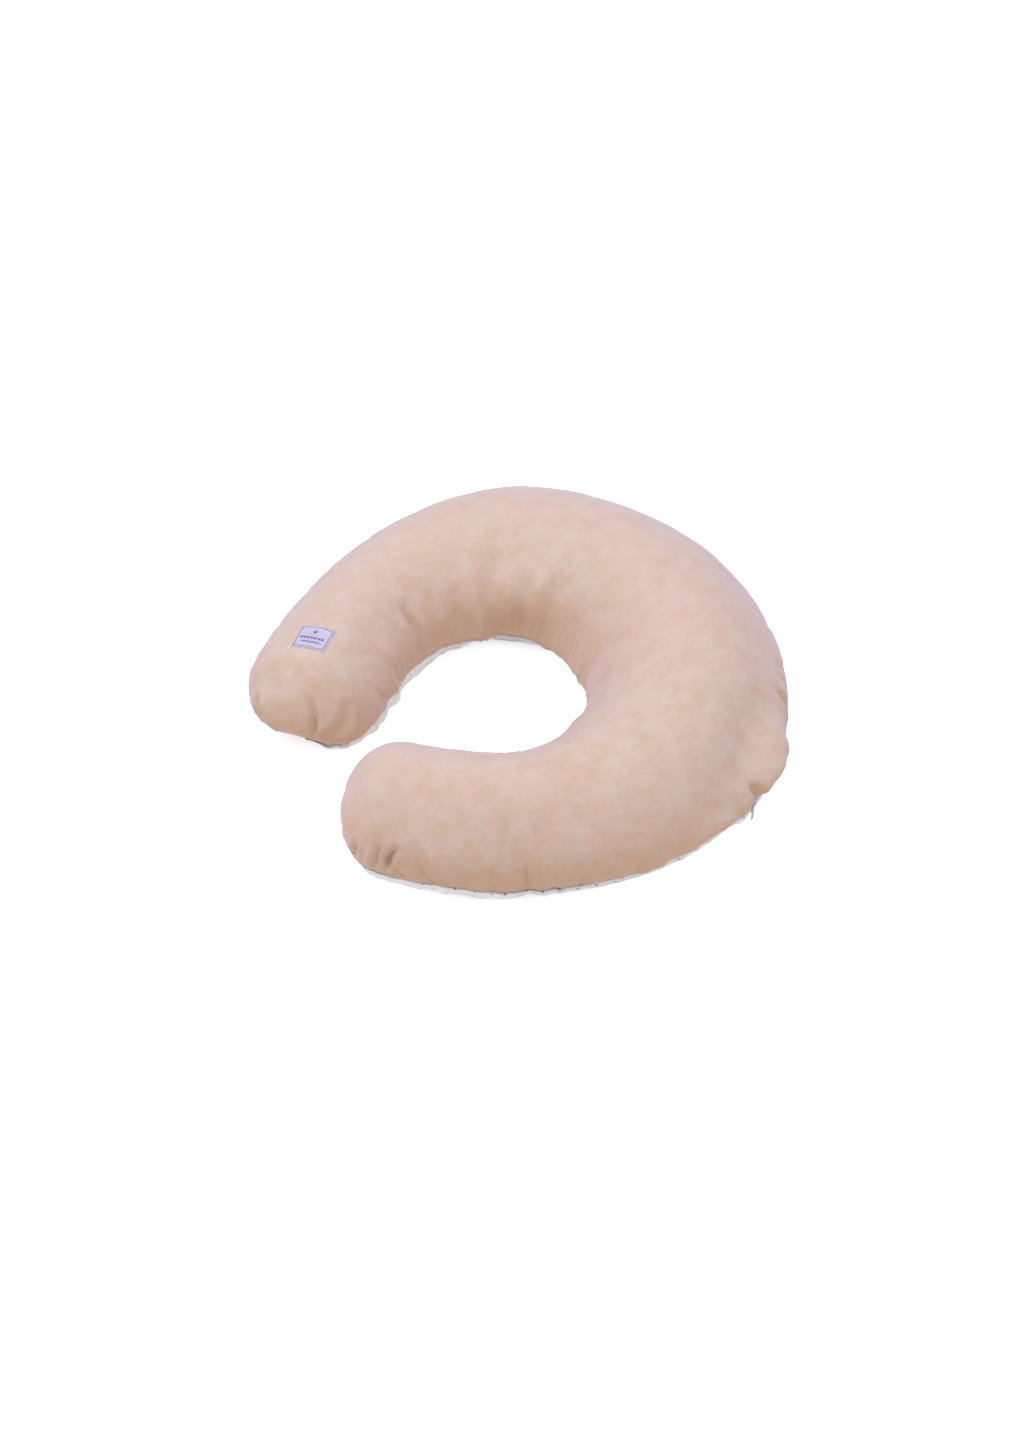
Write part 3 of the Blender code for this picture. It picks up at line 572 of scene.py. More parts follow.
def panels():
    """Both panels' outer surfaces on the fine grid, with their normals, seam distances and zip shares."""
    s, b = domain(ROWS)
    even = [tube(s, b, True), tube(s, b, False)]
    weights = [np.exp(-((seam_distance(g) / SEAM_REACH) ** 2)) for g in even]
    moved = simulated(even[0], even[1], weights)
    s, b = domain(ROWS, FINE)
    fine = [tube(s, b, True), tube(s, b, False)]
    even_normals = outward(*fine)
    sag = seam_sag(s, b)
    result = []
    for k, over in ((0, True), (1, False)):
        distance = seam_distance(fine[k])
        along, level = by_the_seam(fine[k], even_normals[k], distance)
        result.append({
            "points": sagged(fine[k], sag, level, distance, over),
            "distance": distance,
            "along": along,
            "crumple": refined(moved[k] - blurred(moved[k] - even[k], BLUR_CELLS) - even[k], FINE),
            "sag": sag,
            "slot": zip_share(fine[k]),
            "sign": 1.0 if over else -1.0,
        })
    for panel, normals in zip(result, outward(result[0]["points"], result[1]["points"])):
        panel["height"] = cloth_height(panel, normals)
        panel["points"] = panel["points"] + normals * panel["height"][..., None]
        spread = PLY_GAP + panel["slot"] * (SLOT_HALF - PLY_GAP)
        panel["points"][..., 2] += panel["sign"] * spread * np.exp(-((panel["distance"] / SLOT_REACH) ** 2))
        panel["points"][..., 2] = np.maximum(panel["points"][..., 2], 0.0)
    for panel, normals in zip(result, outward(result[0]["points"], result[1]["points"])):
        panel["normals"] = normals
    return result


# ---------------------------------------------------------------- pieces
TURN_INS = (0.0011, 0.0027, 0.0044)
SLOT_TURN_INS = (0.0009, 0.0018, 0.0027)
CASING_TURN_INS = (0.0008, 0.0018, 0.0030)
FOLD_SHARE = 0.8
THREAD_SIDES = 6
THREAD_END = 0.35
STITCH_POINTS = 5
STITCH_SHARE = 0.8
STEEP = 0.05


def piece(name, form, look, stands_for=(), flat_map=None, smoothed=True):
    """A new piece of the cushion from its points and faces."""
    points, faces = form
    mesh = bpy.data.meshes.new(name)
    mesh.from_pydata(np.asarray(points, float).tolist(), [], faces)
    if flat_map is not None:
        layer = mesh.uv_layers.new(name="cloth")
        corners = np.zeros(len(mesh.loops), int)
        mesh.loops.foreach_get("vertex_index", corners)
        layer.data.foreach_set("uv", np.asarray(flat_map)[corners].ravel())
    if smoothed:
        mesh.shade_smooth()
    mesh.materials.append(look)
    made = bpy.data.objects.new(name, mesh)
    bpy.context.scene.collection.objects.link(made)
    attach(made, "cushion")
    if stands_for:
        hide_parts(*stands_for)
    return made


def strip(first, second, flip):
    """Quads between two closed rings of vertex numbers."""
    count = len(first)
    quads = []
    for k in range(count):
        n = (k + 1) % count
        quad = (first[k], first[n], second[n], second[k])
        quads.append(quad if flip else quad[::-1])
    return quads


def half_strip(fine, coarse, flip):
    """Triangles between a ring and one with half as many points."""
    count = len(coarse)
    found = []
    for k in range(count):
        a, b, c = fine[2 * k], fine[2 * k + 1], fine[(2 * k + 2) % len(fine)]
        d, e = coarse[k], coarse[(k + 1) % count]
        found += [(a, b, d), (b, e, d), (b, c, e)]
    return found if flip else [t[::-1] for t in found]


def cloth_shell(panel, thickness, turn_ins, slot_turn_ins):
    """A panel as one closed sheet of cloth: its outer face, the turned-in edge and a coarser inner face."""
    points, normals = panel["points"], panel["normals"]
    columns, rows = points.shape[:2]
    flip = panel["sign"] > 0.0
    up = np.array([0.0, 0.0, panel["sign"]])
    edge = rim_of(points)
    level = level_way(normals[edge])
    slot = panel["slot"][edge][:, None]
    rings = [points[edge] - level * (w + (n - w) * slot) for w, n in zip(turn_ins, slot_turn_ins)]
    fold = FOLD_SHARE * thickness
    raised = fold * np.exp(-((panel["distance"] / (2.0 * thickness)) ** 2))
    lining = (points - normals * thickness + up * raised[..., None])[::2, ::2]
    parts = [points.reshape(-1, 3)] + rings
    parts += [ring[::2] + up * fold for ring in rings[:0:-1]] + [lining.reshape(-1, 3)]
    starts = [int(n) for n in np.concatenate([[0], np.cumsum([len(p) for p in parts])])]
    order = [ring_of(points)]
    order += [list(range(starts[k], starts[k + 1])) for k in range(1, len(parts) - 1)]
    order.append(ring_of(lining, starts[-2]))
    faces = quad_faces(columns, rows, 0, flip)
    turn = len(rings)
    for k in range(len(order) - 1):
        faces += (half_strip if k == turn else strip)(order[k], order[k + 1], flip)
    faces += quad_faces(*lining.shape[:2], starts[-2], not flip)
    return np.concatenate(parts), faces


def flat_pattern(panel):
    """Flat coordinates in metres of a panel's points: along the tube, and across it from the middle."""
    points = panel["points"]
    across = np.linalg.norm(np.diff(points, axis=1), axis=2)
    v = np.insert(np.cumsum(across, axis=1), 0, 0.0, axis=1)
    v -= v[:, -1:] / 2.0
    u = length_along(points[:, points.shape[1] // 2])
    return np.stack([np.repeat(u[:, None], points.shape[1], 1), v], -1)


def sew_panel(name, panel, thickness, look, node, slot, turn_ins=TURN_INS, slot_turn_ins=SLOT_TURN_INS):
    """One cloth panel as a piece, with its flat pattern as the map that its dots and weave follow."""
    form = cloth_shell(panel, thickness, turn_ins, slot_turn_ins)
    pattern = flat_pattern(panel)
    rim = pattern[rim_of(pattern)]
    count = len(turn_ins)
    maps = [pattern.reshape(-1, 2)] + [rim] * count + [rim[::2]] * (count - 1)
    maps.append(pattern[::2, ::2].reshape(-1, 2))
    return piece(name, form, look, (node,), np.concatenate(maps))


def swept(rings, flip=False):
    """One closed body through a row of closed rings of points."""
    count, sides = rings.shape[:2]
    faces = []
    for k in range(count - 1):
        for m in range(sides):
            a, b = k * sides + m, k * sides + (m + 1) % sides
            faces.append((a, a + sides, b + sides, b) if flip else (a, b, b + sides, a + sides))
    first = tuple(range(sides))
    last = tuple((count - 1) * sides + m for m in first)
    faces += [first, last[::-1]] if flip else [first[::-1], last]
    return rings.reshape(-1, 3), faces


def strand(path, radius, sides=THREAD_SIDES, pointed=THREAD_END):
    """One closed round strand along a path, drawn in at both ends."""
    ahead = np.roll(path, -1, 0) - np.roll(path, 1, 0)
    ahead[0], ahead[-1] = path[1] - path[0], path[-1] - path[-2]
    ahead = unit(ahead)
    side = np.cross(ahead, (0.0, 0.0, 1.0))
    steep = np.linalg.norm(side, axis=1) < STEEP
    side[steep] = np.cross(ahead[steep], (0.0, 1.0, 0.0))
    side = unit(side)
    rise = np.cross(side, ahead)
    turn = np.arange(sides) * 2.0 * math.pi / sides
    size = np.full(len(path), radius)
    size[0] = size[-1] = radius * pointed
    ring = np.cos(turn)[None, :, None] * side[:, None] + np.sin(turn)[None, :, None] * rise[:, None]
    return swept(path[:, None] + ring * size[:, None, None])


def gathered(parts):
    """Several closed bodies as the points and faces of one mesh."""
    points, faces, start = [], [], 0
    for p, f in parts:
        points.append(p)
        faces += [tuple(start + v for v in face) for face in f]
        start += len(p)
    return np.concatenate(points), faces


def running_stitches(path, pitch, radius, dip=0.0):
    """One arched stitch per pitch along a path, each end dipping by dip."""
    along = length_along(path)
    at = np.linspace(0.0, along[-1], max(2, int(along[-1] / pitch)) + 1)
    dots = np.stack([np.interp(at, along, path[:, k]) for k in range(3)], -1)
    t = np.linspace(0.5 - STITCH_SHARE / 2.0, 0.5 + STITCH_SHARE / 2.0, STITCH_POINTS)[:, None]
    arch = dip * ((t - 0.5) * 2.0 / STITCH_SHARE) ** 4
    return gathered(strand(a + (b - a) * t - arch, radius) for a, b in zip(dots[:-1], dots[1:]))


def part_of_ring(path, wanted):
    """The points of a closed path where wanted is true, in one run."""
    start = int(np.nonzero(wanted & ~np.roll(wanted, 1))[0][0])
    return np.roll(path, -start, 0)[: int(wanted.sum())]


# ---------------------------------------------------------------- zip
ZIP_STEPS = 240
COIL_PITCH = 0.0015
COIL_WIRE = 0.00027
COIL_STEPS = 8
COIL_SIDES = 5
COIL_FLAT = 0.00042
COIL_MESH = 0.00020
TAPE_THICK = 0.0006
TAPE_LEAN_START = 0.0034
TAPE_ROWS = 9
SEWING_PITCH = 0.0030
SEWING_RADIUS = 0.00020
TACK_STITCHES = 6
TACK_RADIUS = 0.00018
TACK_SWELL = 0.00035
ZIP_ROUND = np.linspace(-ZIP_ANGLE, ZIP_ANGLE, ZIP_STEPS + 1)


def round_back(radius, angle, z):
    """Points at a radius and an angle round the closed back."""
    radius, angle, z = np.broadcast_arrays(radius, angle, z)
    return np.stack([radius * np.sin(angle), ARC_Y + radius * np.cos(angle), z], -1)


def outer_radius(node):
    """Radius of a CAD node's outer side, for the nodes that run round the back."""
    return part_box(node)[1].y - ARC_Y


def vertex_radii(node):
    return [math.hypot(v.co.x, v.co.y - ARC_Y) for v in frame["nodes"][node].data.vertices]


def tape(name, look, sign):
    """One woven zip tape: flat beside the coil, leaning in behind the panel."""
    low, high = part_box(name)
    start, end = (low.z, high.z) if sign > 0.0 else (high.z, low.z)
    radius = outer_radius(name)
    lean = radius - min(vertex_radii(name)) - TAPE_THICK
    height = start + (end - start) * np.linspace(0.0, 1.0, TAPE_ROWS)
    back = lean * smooth((np.abs(height - start) - TAPE_LEAN_START) / (abs(end - start) - TAPE_LEAN_START))
    outer = np.stack([radius - back, height], -1)
    inner = np.stack([radius - back - TAPE_THICK, height], -1)[::-1]
    outline = np.concatenate([outer, inner])
    if sign < 0.0:
        outline = outline[::-1]
    rings = round_back(outline[None, :, 0], ZIP_ROUND[:, None], outline[None, :, 1])
    piece(name + "_cloth", swept(rings, True), look, (name,))


def coil(name, look, sign):
    """One coil row: a wound nylon wire whose heads reach past the middle between the other row's."""
    low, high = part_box(name)
    middle = outer_radius(name) - COIL_WIRE - COIL_FLAT
    angle = ZIP_ANGLE - COIL_PITCH / middle / 2.0
    turns = int(2.0 * angle * middle / COIL_PITCH)
    t = np.arange(turns * COIL_STEPS + 1) / COIL_STEPS
    around = 2.0 * math.pi * t
    far = max(abs(high.z - SEAM_Z), abs(low.z - SEAM_Z)) - COIL_WIRE
    near = -COIL_MESH
    z = SEAM_Z + sign * ((far + near) / 2.0 + (far - near) / 2.0 * np.cos(around))
    along = -angle + (t + sign / 4.0 + 0.5) * COIL_PITCH / middle
    path = round_back(middle + COIL_FLAT * np.sin(around), along, z)[:-COIL_STEPS]
    piece(name + "_wire", strand(path, COIL_WIRE, COIL_SIDES, 1.0), look, (name,))


def zip_sewing(name, look):
    """The stitches that hold one tape to its panel."""
    low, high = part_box(name)
    path = round_back(outer_radius(name) - SEWING_RADIUS, ZIP_ROUND, (low.z + high.z) / 2.0)
    piece(name + "_run", running_stitches(path, SEWING_PITCH, SEWING_RADIUS), look, (name,))


def bar_tack(name, look):
    """Satin stitches side by side across the end of the zip."""
    low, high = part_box(name)
    near, far = (high.y, low.y) if low.x > 0.0 else (low.y, high.y)
    ends = [math.atan2(low.x, near - ARC_Y), math.atan2(high.x, far - ARC_Y)]
    z = np.linspace(low.z, high.z, COIL_STEPS)
    swell = TACK_SWELL * np.sqrt(np.sin(np.linspace(0.0, math.pi, COIL_STEPS)).clip(0.0))
    radius = max(vertex_radii(name)) - TACK_SWELL - TACK_RADIUS + swell
    angles = [ends[0] + (ends[1] - ends[0]) * (k + 0.5) / TACK_STITCHES for k in range(TACK_STITCHES)]
    form = gathered(strand(round_back(radius, angle, z), TACK_RADIUS) for angle in angles)
    piece(name + "_satin", form, look, (name,))


# ---------------------------------------------------------------- label
LABEL_ALONG = (-0.4745, -0.5065)
LABEL_ACROSS = (69.0, 98.0)
LABEL_CELLS = (20, 16)
LABEL_LIFT = 0.0007
LABEL_THICK = 0.0005
LABEL_BOW = 0.012
LABEL_SAG = 0.016
LABEL_FOLD = 0.0002
MOTIF_THICK = 0.00018
MOTIF_SINK = 0.00005
# Shares of the label's width and height.
BORDER = (0.05, 0.06)
BORDER_WIDTH = 0.016
BORDER_CELLS = (24, 18)
STAR_PLACE = (0.5, 0.27)
STAR_SIZE = 0.085
STAR_WAIST = 0.42
STAR_STRETCH = 1.22
# Rows of bars: top, bottom, left, right and how many.
BARS = ((0.49, 0.58, 0.14, 0.86, 7), (0.68, 0.74, 0.22, 0.78, 9))
BAR_SHARE = 0.72
STITCH_MARGIN = 0.022
STITCH_LIFT = 0.00016
STITCH_DIP = 0.00030
STITCH_PITCH = 0.0024
SIDE_POINTS = 14


def surface_tree(panel):
    """The panel's outer face as a tree that finds the nearest place on it."""
    points = panel["points"]
    faces = quad_faces(*points.shape[:2], 0, panel["sign"] > 0.0)
    return bvhtree.BVHTree.FromPolygons(points.reshape(-1, 3).tolist(), faces)


def on_label(tree, u, v, lift):
    """Points over the velour at label places: u across it from the outer side, v down it to the tip."""
    degrees = LABEL_ACROSS[0] + (LABEL_ACROSS[1] - LABEL_ACROSS[0]) * u
    s = LABEL_ALONG[0] + (LABEL_ALONG[1] - LABEL_ALONG[0]) * v
    even = tube(s, np.cos(np.radians(degrees)), True)
    out = np.zeros((u.size, 3))
    for k, p in enumerate(even.reshape(-1, 3)):
        spot, normal = tree.find_nearest(Vector(p))[:2]
        out[k] = spot + normal * lift
    return out.reshape(even.shape)


def slab(over, under):
    """A thin closed body between two grids."""
    columns, rows = over.shape[:2]
    a, b, c = over[0, 0], over[1, 0], over[0, 1]
    flip = np.cross(b - a, c - a) @ (a - under[0, 0]) < 0.0
    count = columns * rows
    faces = quad_faces(columns, rows, 0, flip) + quad_faces(columns, rows, count, not flip)
    faces += strip(ring_of(over), ring_of(over, count), flip)
    return np.concatenate([over.reshape(-1, 3), under.reshape(-1, 3)]), faces


def cells(u0, u1, v0, v1, count):
    """Grids of u and v over a rectangle."""
    u = np.linspace(u0, u1, count[0] + 1)[:, None] + np.zeros((1, count[1] + 1))
    v = np.linspace(v0, v1, count[1] + 1)[None, :] + np.zeros((count[0] + 1, 1))
    return u, v


def sheet(tree, places, low, high):
    """A thin closed body over a grid of label places, between two heights above the velour."""
    return slab(on_label(tree, *places, high), on_label(tree, *places, low))


def star(tree, low, high):
    """A five-pointed star as one thin closed body."""
    turn = np.arange(10) * math.pi / 5.0
    reach = np.where(np.arange(10) % 2 == 0, STAR_SIZE, STAR_SIZE * STAR_WAIST)
    u = np.append(STAR_PLACE[0] + np.sin(turn) * reach, STAR_PLACE[0])
    v = np.append(STAR_PLACE[1] - np.cos(turn) * reach * STAR_STRETCH, STAR_PLACE[1])
    over = on_label(tree, u, v, high)
    under = on_label(tree, u, v, low)
    faces = []
    for k in range(10):
        n = (k + 1) % 10
        faces += [(10, n, k), (21, 11 + k, 11 + n), (k, n, 11 + n, 11 + k)]
    a, b, c = over[10], over[1], over[0]
    if np.cross(b - a, c - a) @ (over[10] - under[10]) < 0.0:
        faces = [f[::-1] for f in faces]
    return np.concatenate([over, under]), faces


def label(tree, cloth_look, motif_look, thread_look):
    """The woven label with a raised border, star and bars, and the thread round its edge."""
    u, v = cells(0.0, 1.0, 0.0, 1.0, LABEL_CELLS)
    bow = LABEL_BOW * np.sin(math.pi * v) * (u - 0.5)
    sag = LABEL_SAG * np.sin(math.pi * u) * (v - 0.5)
    form = sheet(tree, (u - bow, v - sag), LABEL_LIFT - LABEL_THICK, LABEL_LIFT)
    made = piece("woven_label", form, cloth_look, ("sewn_label",))
    crisp = made.modifiers.new("folded edge", "BEVEL")
    crisp.width = LABEL_FOLD
    crisp.segments = 2
    (a, c), thin = BORDER, BORDER_WIDTH
    b, d = 1.0 - a, 1.0 - c
    inner = thin * 1.3
    bars = [(a, b, c, c + thin, (BORDER_CELLS[0], 1)), (a, b, d - thin, d, (BORDER_CELLS[0], 1))]
    bars += [(x, x + thin, c + inner, d - inner, (1, BORDER_CELLS[1])) for x in (a, b - thin)]
    rows = []
    for top, bottom, left, right, count in BARS:
        width = (right - left) / count
        starts = [left + k * width for k in range(count)]
        rows += [(x, x + width * BAR_SHARE, top, bottom, (3, 1)) for x in starts]
    low, high = LABEL_LIFT - MOTIF_SINK, LABEL_LIFT + MOTIF_THICK
    parts = [sheet(tree, cells(*bar), low, high) for bar in bars] + [star(tree, low, high)]
    parts += [sheet(tree, cells(*bar), low, high) for bar in rows]
    piece("label_motif", gathered(parts), motif_look, smoothed=False)
    m, n = STITCH_MARGIN, 1.0 - STITCH_MARGIN
    corners = [(m, m), (n, m), (n, n), (m, n), (m, m)]
    sides = [np.linspace(p, q, SIDE_POINTS)[:-1] for p, q in zip(corners[:-1], corners[1:])]
    line = np.concatenate(sides + [[corners[0]]])
    path = on_label(tree, line[:, 0], line[:, 1], LABEL_LIFT + STITCH_LIFT)
    form = running_stitches(path, STITCH_PITCH, SEWING_RADIUS, np.array((0.0, 0.0, STITCH_DIP)))
    piece("label_thread", form, thread_look, ("label_stitch",))


# ---------------------------------------------------------------- inside the cover
CARE_ALONG = (-0.222, -0.247)
CARE_ACROSS = (12.0, 30.0)
CARE_CELLS = (14, 12)
CARE_INSETS = (0.0046, 0.0050)
CARE_WAVE = 0.0003
CASING = 0.0006
CASING_INSET = 0.008
CASING_UNDER = 0.0022
CASING_WRINKLE = 0.0006
WRINKLE_SIZE = 0.018
WRINKLE_BIAS = 0.6
WRINKLE_FADE = 0.02
CASING_PLY_REACH = 0.004
CASING_SEAM_OUT = 0.0009
CASING_SEAM_PITCH = 0.0032
CASING_THREAD = 0.0003
GAP_MARGIN = 1.05
# Whip stitches of the closed filling gap: spacing and slant in radians, half height and bow in m.
WHIP_SPACING = 0.016
WHIP_SLANT = 0.009
WHIP_HALF = 0.0022
WHIP_BOW = 0.0006
WHIP_POINTS = 7
FILLING_INSET = 0.0124
FILLING_UNDER = 0.0052
TUFT_SIZE = 0.026
SMALL_TUFT_SIZE = 0.011
TUFT_DEPTH = 0.0016
MAIN_SEAM_PITCH = 0.0030
MAIN_SEAM_THREAD = 0.00028


def care_label(look):
    """The blank care label: a satin tab with a soft wave, lying inside the cover."""
    s, degrees = cells(*CARE_ALONG, *CARE_ACROSS, CARE_CELLS)
    over, under = (tube(s, np.cos(np.radians(degrees)), True, inset) for inset in CARE_INSETS)
    wave = CARE_WAVE * np.sin(np.linspace(0.0, 3.0 * math.pi, CARE_CELLS[1] + 1))
    lean = unit(over - under) * wave[None, :, None]
    piece("care_tab", slab(over + lean, under + lean), look, ("care_label",))


def inner_grids(inset, under):
    """Both grids of a body inside the cover, with their normals."""
    s, b = domain(ROWS)
    grids = [tube(s, b, over, inset, under) for over in (True, False)]
    return grids, outward(*grids)


def casing(shells, cloth_look, thread_look):
    """The insert's two casing panels, following the cover's folds, with their seam and its closing stitches."""
    grids, normals = inner_grids(CASING_INSET, CASING_UNDER)
    for k, grid in enumerate(grids):
        fade = smooth(seam_distance(grid) / WRINKLE_FADE)
        follow = np.minimum(shells[k]["height"][::FINE, ::FINE], 0.0)
        wrinkle = CASING_WRINKLE * (lump(grid, WRINKLE_SIZE, 6 + k) - WRINKLE_BIAS) * fade
        grid += normals[k] * (follow + wrinkle)[..., None]
        grid[..., 2] = np.maximum(grid[..., 2], CASING_UNDER)
        apart = PLY_GAP * np.exp(-((seam_distance(grid) / CASING_PLY_REACH) ** 2))
        grid[..., 2] += apart if k == 0 else -apart
    normals = outward(*grids)
    turns = (CASING_TURN_INS, CASING_TURN_INS)
    for k, node_name in enumerate(("inner_casing_top", "inner_casing_bottom")):
        panel = {
            "points": grids[k],
            "normals": normals[k],
            "sign": 1.0 if k == 0 else -1.0,
            "distance": seam_distance(grids[k]),
            "slot": np.zeros(grids[k].shape[:2]),
        }
        sew_panel(node_name + "_cloth", panel, CASING, cloth_look, node_name, "casing_cotton", *turns)
    edge = rim_of(grids[0])
    level = level_way(normals[0][edge] + normals[1][edge])
    rim = (grids[0][edge] + grids[1][edge]) / 2.0 + level * CASING_SEAM_OUT
    angle, radius = round_angle(rim)
    low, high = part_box("inner_casing_closing_stitch")
    gap = math.atan2(high.x, low.y - ARC_Y)
    in_gap = (angle < gap * GAP_MARGIN) & (radius > BACK_RADIUS)
    form = running_stitches(part_of_ring(rim, ~in_gap), CASING_SEAM_PITCH, CASING_THREAD)
    piece("casing_seam_run", form, thread_look, ("inner_casing_seam_thread",))
    t = np.linspace(0.0, 1.0, WHIP_POINTS)
    reach = outer_radius("inner_casing_closing_stitch") - CASING_THREAD + WHIP_BOW * np.sin(math.pi * t)
    height = SEAM_Z + WHIP_HALF * np.cos(math.pi * t)
    starts = np.arange(-gap, gap, WHIP_SPACING)
    form = gathered(strand(round_back(reach, a + WHIP_SLANT * t, height), CASING_THREAD) for a in starts)
    piece("casing_whip_stitches", form, thread_look, ("inner_casing_closing_stitch",))


def filling(shells, look):
    """The fibre filling: one lumpy closed body inside the casing."""
    grids, normals = inner_grids(FILLING_INSET, FILLING_UNDER)
    for k, grid in enumerate(grids):
        tuft = lump(grid, TUFT_SIZE, 11) + 0.5 * lump(grid, SMALL_TUFT_SIZE, 12)
        follow = np.minimum(shells[k]["height"][::FINE, ::FINE], 0.0)
        grid += normals[k] * (follow - TUFT_DEPTH * (1.0 + np.clip(tuft, -1.0, 1.0)))[..., None]
        grid[..., 2] = np.maximum(grid[..., 2], FILLING_UNDER)
    piece("fibre_tufts", welded(*grids)[:2], look, ("fibre_filling",))


def seam_stitches(shells, look):
    """Stitches of the main seam, running in its groove everywhere but along the zip."""
    edge = rim_of(shells[0]["points"])
    rim = (shells[0]["points"][edge] + shells[1]["points"][edge]) / 2.0
    level = level_way(shells[0]["normals"][edge] + shells[1]["normals"][edge])
    path = part_of_ring(rim - level * SEAM_INSET, shells[0]["slot"][edge] <= 0.0)
    form = running_stitches(path, MAIN_SEAM_PITCH, MAIN_SEAM_THREAD)
    piece("main_seam_run", form, look, ("cover_seam_thread",))


# ---------------------------------------------------------------- materials
# Display colours, 0 to 255.
VELOUR_DARK = (202, 172, 149)
VELOUR_MID = (204, 178, 160)
VELOUR_LIGHT = (206, 183, 169)
VELOUR_PINK = (207, 177, 165)
VELOUR_BLOOM = (216, 213, 252)
# Painted shade: the warmer, darker colour given to velour that faces sideways or down.
VELOUR_PAINTED_SHADE = (203, 163, 128)
COTTON_WHITE = (238, 234, 233)
COTTON_SHADE = (228, 222, 222)
COTTON_DOT = (172, 150, 166)
COTTON_BLOOM = (240, 236, 250)
THREAD_WHITE = (240, 238, 236)
THREAD_LILAC = (205, 200, 222)
COIL_SHADE = (240, 238, 237)
COIL_WHITE = (250, 249, 249)
NICKEL_WORN = (190, 191, 194)
NICKEL_BRIGHT = (222, 222, 224)
# Woven cloths: colour and shade, warp and weft pitch in m, roughness, specular, depth of the threads in m.
WOVEN = {
    "zip_tape_white": ((248, 247, 247), (240, 239, 240), 0.0007, 0.0005, 0.80, 0.25, 0.0003),
    "label_satin": ((188, 182, 202), (178, 171, 193), 0.0005, 0.0004, 0.50, 0.30, 0.0001),
    "label_weft_mauve": ((120, 98, 138), (108, 88, 128), 0.0004, 0.0004, 0.50, 0.40, 0.0001),
    "care_satin": ((240, 240, 243), (232, 232, 236), 0.0005, 0.0004, 0.45, 0.50, 0.0001),
    "casing_cotton": ((238, 236, 230), (229, 226, 219), 0.0008, 0.0009, 0.85, 0.25, 0.0002),
}
# Sizes in m of the velour's clouds of colour and relief.
BROAD = 0.11
# Size of the cloud that breaks up the edge of the painted shade.
PAINTED_SHADE_MOTTLE = 0.04
BLOTCH = 0.020
BRUSHED = 0.006
FUZZ = 0.0034
PILE = 0.0011
DOT_PITCH = 0.013
DOT_SIZE = 0.0013
DOT_CRISP = 0.8
WAVES_PER_SCALE = 0.31
TWIST_SCALE = 900.0
THREAD_SHADE = 0.82
WHITE = (1.0, 1.0, 1.0, 1.0)


def srgb(r, g, b):
    """A display colour (0 to 255) as the linear colour that nodes take."""
    linear = [c / 255.0 / 12.92 if c < 10.3 else ((c / 255.0 + 0.055) / 1.055) ** 2.4 for c in (r, g, b)]
    return (*linear, 1.0)


def feed(tree, socket, value):
    """Give a socket a plain value, or link another node's output to it."""
    if hasattr(value, "is_output"):
        tree.links.new(value, socket)
    else:
        socket.default_value = value


def dress(tree, shader, **inputs):
    """Feed a node's inputs by name, with _ for a space."""
    for name, value in inputs.items():
        feed(tree, shader.inputs[name.replace("_", " ")], value)


def look(name, roughness, metallic=0.0, specular=0.3):
    """A new material with its node tree, its shader and the place in the object that its patterns follow."""
    made = bpy.data.materials.new(name)
    made.use_nodes = True
    shader = made.node_tree.nodes["Principled BSDF"]
    dress(made.node_tree, shader, Roughness=roughness, Metallic=metallic, Specular_IOR_Level=specular)
    return made, made.node_tree, shader, node(made.node_tree, "TexCoord").outputs["Object"]


def node(tree, kind, **inputs):
    made = tree.nodes.new("ShaderNode" + kind)
    dress(tree, made, **inputs)
    return made


def cloud(tree, where, size, detail=2.0, roughness=0.5):
    """Soft noise with features about size metres across."""
    made = node(tree, "TexNoise", Vector=where, Scale=1.0 / size, Detail=detail, Roughness=roughness)
    return made.outputs["Fac"]


def ramp(tree, value, stops):
    made = node(tree, "ValToRGB", Fac=value)
    while len(made.color_ramp.elements) < len(stops):
        made.color_ramp.elements.new(0.5)
    for element, (place, colour) in zip(made.color_ramp.elements, stops):
        element.position = place
        element.color = colour
    return made.outputs["Color"]


def grey_ramp(tree, value, low, high, dark=0.0, light=1.0):
    """Grey that runs from dark where the value is low to light where it is high."""
    return ramp(tree, value, [(low, (dark, dark, dark, 1.0)), (high, (light, light, light, 1.0))])


def mix(tree, share, first, second, blend="MIX"):
    made = tree.nodes.new("ShaderNodeMix")
    made.data_type = "RGBA"
    made.blend_type = blend
    for index, value in ((0, share), (6, first), (7, second)):
        feed(tree, made.inputs[index], value)
    return made.outputs[2]


def maths(tree, operation, first, second):
    made = tree.nodes.new("ShaderNodeMath")
    made.operation = operation
    feed(tree, made.inputs[0], first)
    feed(tree, made.inputs[1], second)
    return made.outputs[0]


def plus(tree, first, second, share):
    """The first value plus a share of the second."""
    return maths(tree, "ADD", first, maths(tree, "MULTIPLY", second, share))


def bumped(tree, height, distance, strength):
    """A normal that shows a height as relief."""
    return node(tree, "Bump", Height=height, Distance=distance, Strength=strength).outputs["Normal"]


